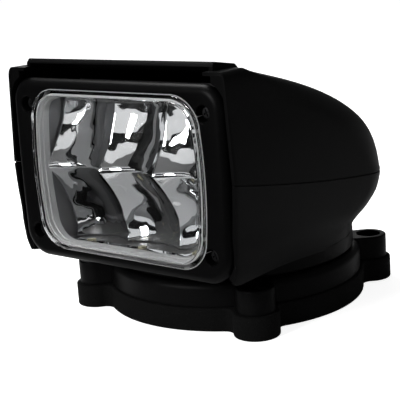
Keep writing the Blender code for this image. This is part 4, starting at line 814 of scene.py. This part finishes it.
recess = bezel["recess"]
flared = recess + 0.0008
cutOut = 0.012  # past the frame's front
recessProfile = [(0, 0), (recess - clear, 0), (recess, clear), (recess, 0.0058), (flared, 0.0066),
                 (flared, cutOut), (0, cutOut)]
cuts = [solidOf(facing(turned(recessProfile, 48), place, seat)) for place in screwPlaces]
for place in screwPlaces:
    cuts.append(solidOf(bar(bezel["screwBore"], seat - 0.005, bezelBack + 0.01, place, 24, "Y")))
combine(bezelRing, "DIFFERENCE", cuts)
putOut(meshOf(bezelRing), "lensBezel", "lamp", "bezel_plastic", ["bezel"], 32)

innerFace = lens["front"] + lens["wall"]
flangeBack, flangeFront = rebate + 0.0022, rebate + clear
lensSteps = [(innerFace, lens["wall"] + 0.0045), (innerFace + 0.0003, lens["wall"] + 0.002),
             (innerFace + 0.0012, lens["wall"] + 0.0002), (flangeBack, lens["wall"]),
             (flangeBack, -lens["flange"]), (flangeFront, -lens["flange"]), (flangeFront, 0)]
rimSteps = [  # back from the front face, then in from the side
    (0.002, 0.0002), (0.0014, 0.0006), (0.0011, 0.0014), (0.0008, 0.0034), (0.0002, 0.0037), (0, 0.0042)]
lensSteps += [(lens["front"] + back, inset) for back, inset in rimSteps]
bm = bmesh.new()
_, firstEdges, _, lastEdges = sweepRings(bm, [faceRing(lensShape, y, inset) for y, inset in lensSteps])
bmesh.ops.edgeloop_fill(bm, edges=firstEdges)
bmesh.ops.edgeloop_fill(bm, edges=lastEdges)
putOut(bm, "frontLens", "lamp", "clear_plastic", ["lens"], 25)

mirror = {"half": 0.063, "rise": 0.0456, "vertex": -0.073, "focal": 0.0155, "upright": 0.0261, "wall": 0.0018,
          "seam": 0.0006, "ridge": 0.0009, "gridX": 150, "gridZ": 110}
column = mirror["half"] * 2 / 3  # the width of a cell
bm = bmesh.new()
bmesh.ops.create_grid(bm, x_segments=mirror["gridX"], y_segments=mirror["gridZ"], size=1)
for vert in bm.verts:
    x, z = vert.co.x * mirror["half"], vert.co.y * mirror["rise"]
    toSeam = (x + mirror["half"] + column / 2) % column - column / 2
    if abs(x) > mirror["half"] - column / 2:
        toSeam = mirror["half"] - abs(x)
        across = column / 2 - toSeam
    else:
        across = column / 2 - math.hypot(toSeam, mirror["seam"])
    down = mirror["rise"] - math.hypot(z, mirror["ridge"])
    depth = mirror["vertex"] - across**2 / (4 * mirror["focal"]) - down**2 / (4 * mirror["upright"])
    vert.co = (x, depth, z + lens["z"])
reflector = putOut(bm, "sixCellMirror", "lamp", "chrome", ["reflector"], 30)
thick = reflector.modifiers.new("wall", "SOLIDIFY")
thick.thickness = mirror["wall"]
thick.offset = -1 if reflector.data.polygons[0].normal.y < 0 else 1

collar = {"half": 0.0634, "rise": 0.0456, "corner": 0.0168, "bulge": 0.0035, "front": -0.1063,
          "back": -0.0962, "step": 0.0006, "outer": 0.0007, "flange": 0.0012, "edge": 0.0003,
          "treads": (-0.1008, -0.1012, -0.1042, -0.1046)}
collarShape = [collar[name] for name in ("half", "rise", "corner", "bulge", "corner")] + [lens["z"]]
flangeRear = collar["front"] + collar["edge"]
step, tread = collar["step"], collar["treads"]
collarSteps = [(collar["back"], 2 * step), (tread[0], 2 * step), (tread[1], step), (tread[2], step),
               (tread[3], 0), (collar["front"] + 0.0004, 0), (collar["front"], -collar["edge"]),
               (collar["front"], -collar["flange"]), (flangeRear, -collar["flange"]),
               (flangeRear, -collar["outer"]), (collar["back"], -collar["outer"])]
collarBody = closedSweep([faceRing(collarShape, y, inset) for y, inset in collarSteps])
# the collar is chrome; its bright satin white is a painted highlight for the bright bands at the lens rim
putOut(collarBody, "mirrorCollar", "lamp", "chrome", look="collar")

ledge = {"half": 0.0585, "low": 0.05305, "high": 0.05325, "front": -0.0958, "back": -0.0868, "notch": 0.0036,
         "notchFront": -0.0912, "notchBack": -0.0858, "cutLow": 0.05, "cutHigh": 0.06}


def oblong(left, right, front, back):  # the corners of a rectangle, in order
    return [(left, front), (right, front), (right, back), (left, back)]


ledgePlate = solidOf(prism(oblong(-ledge["half"], ledge["half"], ledge["front"], ledge["back"]), ledge["low"],
                           ledge["high"]))
notches = []
for i in range(3):
    middle = column * (i - 1)
    sides = (middle - ledge["notch"], middle + ledge["notch"])
    outline = oblong(*sides, ledge["notchFront"], ledge["notchBack"])
    notches.append(solidOf(prism(outline, ledge["cutLow"], ledge["cutHigh"])))
combine(ledgePlate, "DIFFERENCE", notches)
putOut(meshOf(ledgePlate), "mirrorLedge", "lamp", "chrome")

# a pale ring round the lens edge: its white is a painted highlight standing in for the light scattered in the
# clear rim
rimHighlight = {"back": -0.0986, "front": lens["front"] + lens["wall"], "near": 0.00005, "far": 0.0002}
rimHighlightSteps = oblong(rimHighlight["back"], rimHighlight["front"], rimHighlight["near"], rimHighlight["far"])
rimHighlightBody = closedSweep([faceRing(lensShape, y, -reach) for y, reach in rimHighlightSteps])
putOut(rimHighlightBody, "lensRimHighlightRing", "lamp", "white_acetal", look="lens_rim_highlight")
print("lamp made")


# Screws

def crossScrew(head, rise, shank, length):  # a pan head with a cross cut in it
    profile = [(0, -length), (shank - 0.0003, -length), (shank, -length + 0.0003), (shank, 0), (head, 0)]
    profile += [(head, rise * 0.35)] + arc(head - rise * 0.5, rise * 0.4, rise * 0.5, 0.35, math.pi / 2, 5)
    profile += [(0, rise * 0.92)]
    screw = solidOf(turned(profile, 32))
    slots = []
    for turn in (0, math.pi / 2):
        cutter = bmesh.new()
        bmesh.ops.create_cube(cutter, size=1)
        bmesh.ops.scale(cutter, vec=(head * 1.15, head * 0.24, rise), verts=cutter.verts)
        bmesh.ops.translate(cutter, vec=(0, 0, rise * 0.85), verts=cutter.verts)
        bmesh.ops.rotate(cutter, verts=cutter.verts, matrix=Matrix.Rotation(turn + 0.4, 3, "Z"))
        slots.append(solidOf(cutter))
    combine(screw, "DIFFERENCE", slots)
    return meshOf(screw)


screwSize = {"head": 0.0036, "rise": 0.0022, "shank": 0.0018, "length": 0.0085}
for i, place in enumerate(screwPlaces):
    bm = facing(crossScrew(**screwSize), place, seat - clear)
    putOut(bm, f"bezelScrew{i + 1}", "lamp", "stainless", [f"bezel_screw_{i + 1}"], 35)
print("screws made")


# Floor, light and camera

studio = {"floorSize": 6, "floorGlow": 0.85, "light": 0.2, "backdrop": 1.0, "glossDrop": -0.11, "aim": 0.1,
          "cardHeight": 0.004, "highCard": 1.5}
bm = bmesh.new()
bmesh.ops.create_grid(bm, x_segments=1, y_segments=1, size=studio["floorSize"])
floor = placed(bm, "studioFloor")
floorLook, floorShader, place = newMaterial("paleFloor")
seen = place.add("ShaderNodeLightPath")
cloud = place.noise(3, 2.0)
fit(floorShader, Base_Color=cloud.tint((0.8, 0.8, 0.8), (0.84, 0.84, 0.84)), Roughness=0.7,
    Emission_Color=seen.tint((0, 0, 0), (1, 1, 1)), Emission_Strength=studio["floorGlow"])
floor.data.materials.append(floorLook)

world = bpy.data.worlds.new("studioWorld")
scene.world = world
world.use_nodes = True
tree = world.node_tree
background = tree.nodes["Background"]
path = tree.nodes.new("ShaderNodeLightPath")
camRay = Wire(tree, path.outputs["Is Camera Ray"])
passRay = Wire(tree, path.outputs["Is Transmission Ray"])
shown = camRay.calc("MAXIMUM", camRay, passRay)
glossRay = Wire(tree, path.outputs["Is Glossy Ray"])
strength = shown * (studio["backdrop"] - studio["light"]) + studio["light"] + glossRay * studio["glossDrop"]
background.inputs["Color"].default_value = (1, 1, 1, 1)
tree.links.new(strength.socket, background.inputs["Strength"])


def softbox(name, place, size, power):  # a rectangular lamp turned to the head
    light = bpy.data.lights.new(name, "AREA")
    light.shape = "RECTANGLE"
    light.size, light.size_y = size
    light.energy = power
    made = bpy.data.objects.new(name, light)
    made.location = place
    made.rotation_mode = "QUATERNION"
    made.rotation_quaternion = (Vector((0, 0, studio["aim"])) - Vector(place)).to_track_quat("-Z", "Y")
    scene.collection.objects.link(made)


def makeCard(name, dark, light):  # matt card that varies a little in tone
    made, shader, place = newMaterial(name)
    fit(shader, Base_Color=place.noise(4, 2.0).tint(dark, light), Roughness=0.9, Specular_IOR_Level=0.1)
    return made


def reflectionCard(name, look, corners):  # a card that only reflections and the lens show
    bm = bmesh.new()
    bm.faces.new([bm.verts.new(corner) for corner in corners])
    card = placed(bm, name)
    card.visible_camera = False
    card.visible_shadow = False
    card.visible_diffuse = False
    card.data.materials.append(look)


def flatCard(name, look, low, high, height):  # the same, level, between two corners
    outline = oblong(low[0], high[0], low[1], high[1])
    reflectionCard(name, look, [(x, y, height) for x, y in outline])


black = makeCard("blackCard", (0.004, 0.004, 0.004), (0.008, 0.008, 0.008))
grey = makeCard("greyCard", (0.36, 0.36, 0.36), (0.44, 0.44, 0.44))
flatCard("frontCard", black, (-2.2, -0.15), (1.6, -2.4), studio["cardHeight"])
reflectionCard("horizonCard", black, [(-2.4, -1.7, 0), (1.8, -1.7, 0), (1.8, -1.7, 0.4), (-2.4, -1.7, 0.4)])
reflectionCard("bandCard", black, [(-2.6, -1.5, 0.75), (2, -1.5, 0.95), (2, -1.4, 1.3), (-2.6, -1.4, 1.05)])
reflectionCard("leftCard", black, [(-1.6, -1.2, 0.2), (-1.5, -0.9, 0.2), (-0.9, -0.7, 1.5),
                                   (-1.1, -0.95, 1.5)])
reflectionCard("nearCard", black, [(-0.095, -0.177, 0.1), (-0.142, -0.116, 0.1), (-0.142, -0.116, 0.25),
                                   (-0.095, -0.177, 0.25)])
flatCard("sideCard", grey, (0.12, -0.15), (2.4, 2.4), studio["cardHeight"])
flatCard("highCard", grey, (-2.5, -1.5), (2.5, 1.2), studio["highCard"])
softbox("overhead", (-0.5, 0.05, 1.15), (0.5, 0.5), 12)
softbox("rearBand", (-1.3, 1.5, 0.65), (1.2, 0.4), 3)
softbox("frontFill", (-0.2, -1.5, 0.75), (0.4, 0.5), 17)

view = {"azimuth": 39.9, "elevation": 13.09, "roll": -3.81, "lens": 98.0964, "sensor": 36,
        "distance": 0.72165, "across": -0.02051, "up": 0.06244}
azimuth, elevation, roll = (math.radians(view[name]) for name in ("azimuth", "elevation", "roll"))
back = Vector((math.sin(azimuth) * math.cos(elevation), -math.cos(azimuth) * math.cos(elevation),
               math.sin(elevation)))
rightward = Vector((math.cos(azimuth), math.sin(azimuth), 0))
upward = back.cross(rightward)
cameraData = bpy.data.cameras.new("camera")
cameraData.lens = view["lens"]
cameraData.sensor_width = view["sensor"]
camera = bpy.data.objects.new("camera", cameraData)
scene.collection.objects.link(camera)
rolledRight = rightward * math.cos(roll) + upward * math.sin(roll)
rolledUp = upward * math.cos(roll) - rightward * math.sin(roll)
turn = Matrix((rolledRight, rolledUp, back)).transposed()
eye = rightward * view["across"] + Vector((0, 0, view["up"])) + back * view["distance"]
camera.matrix_world = Matrix.Translation(eye) @ turn.to_4x4()
scene.camera = camera
scene.view_settings.view_transform = "Standard"
print("studio made")
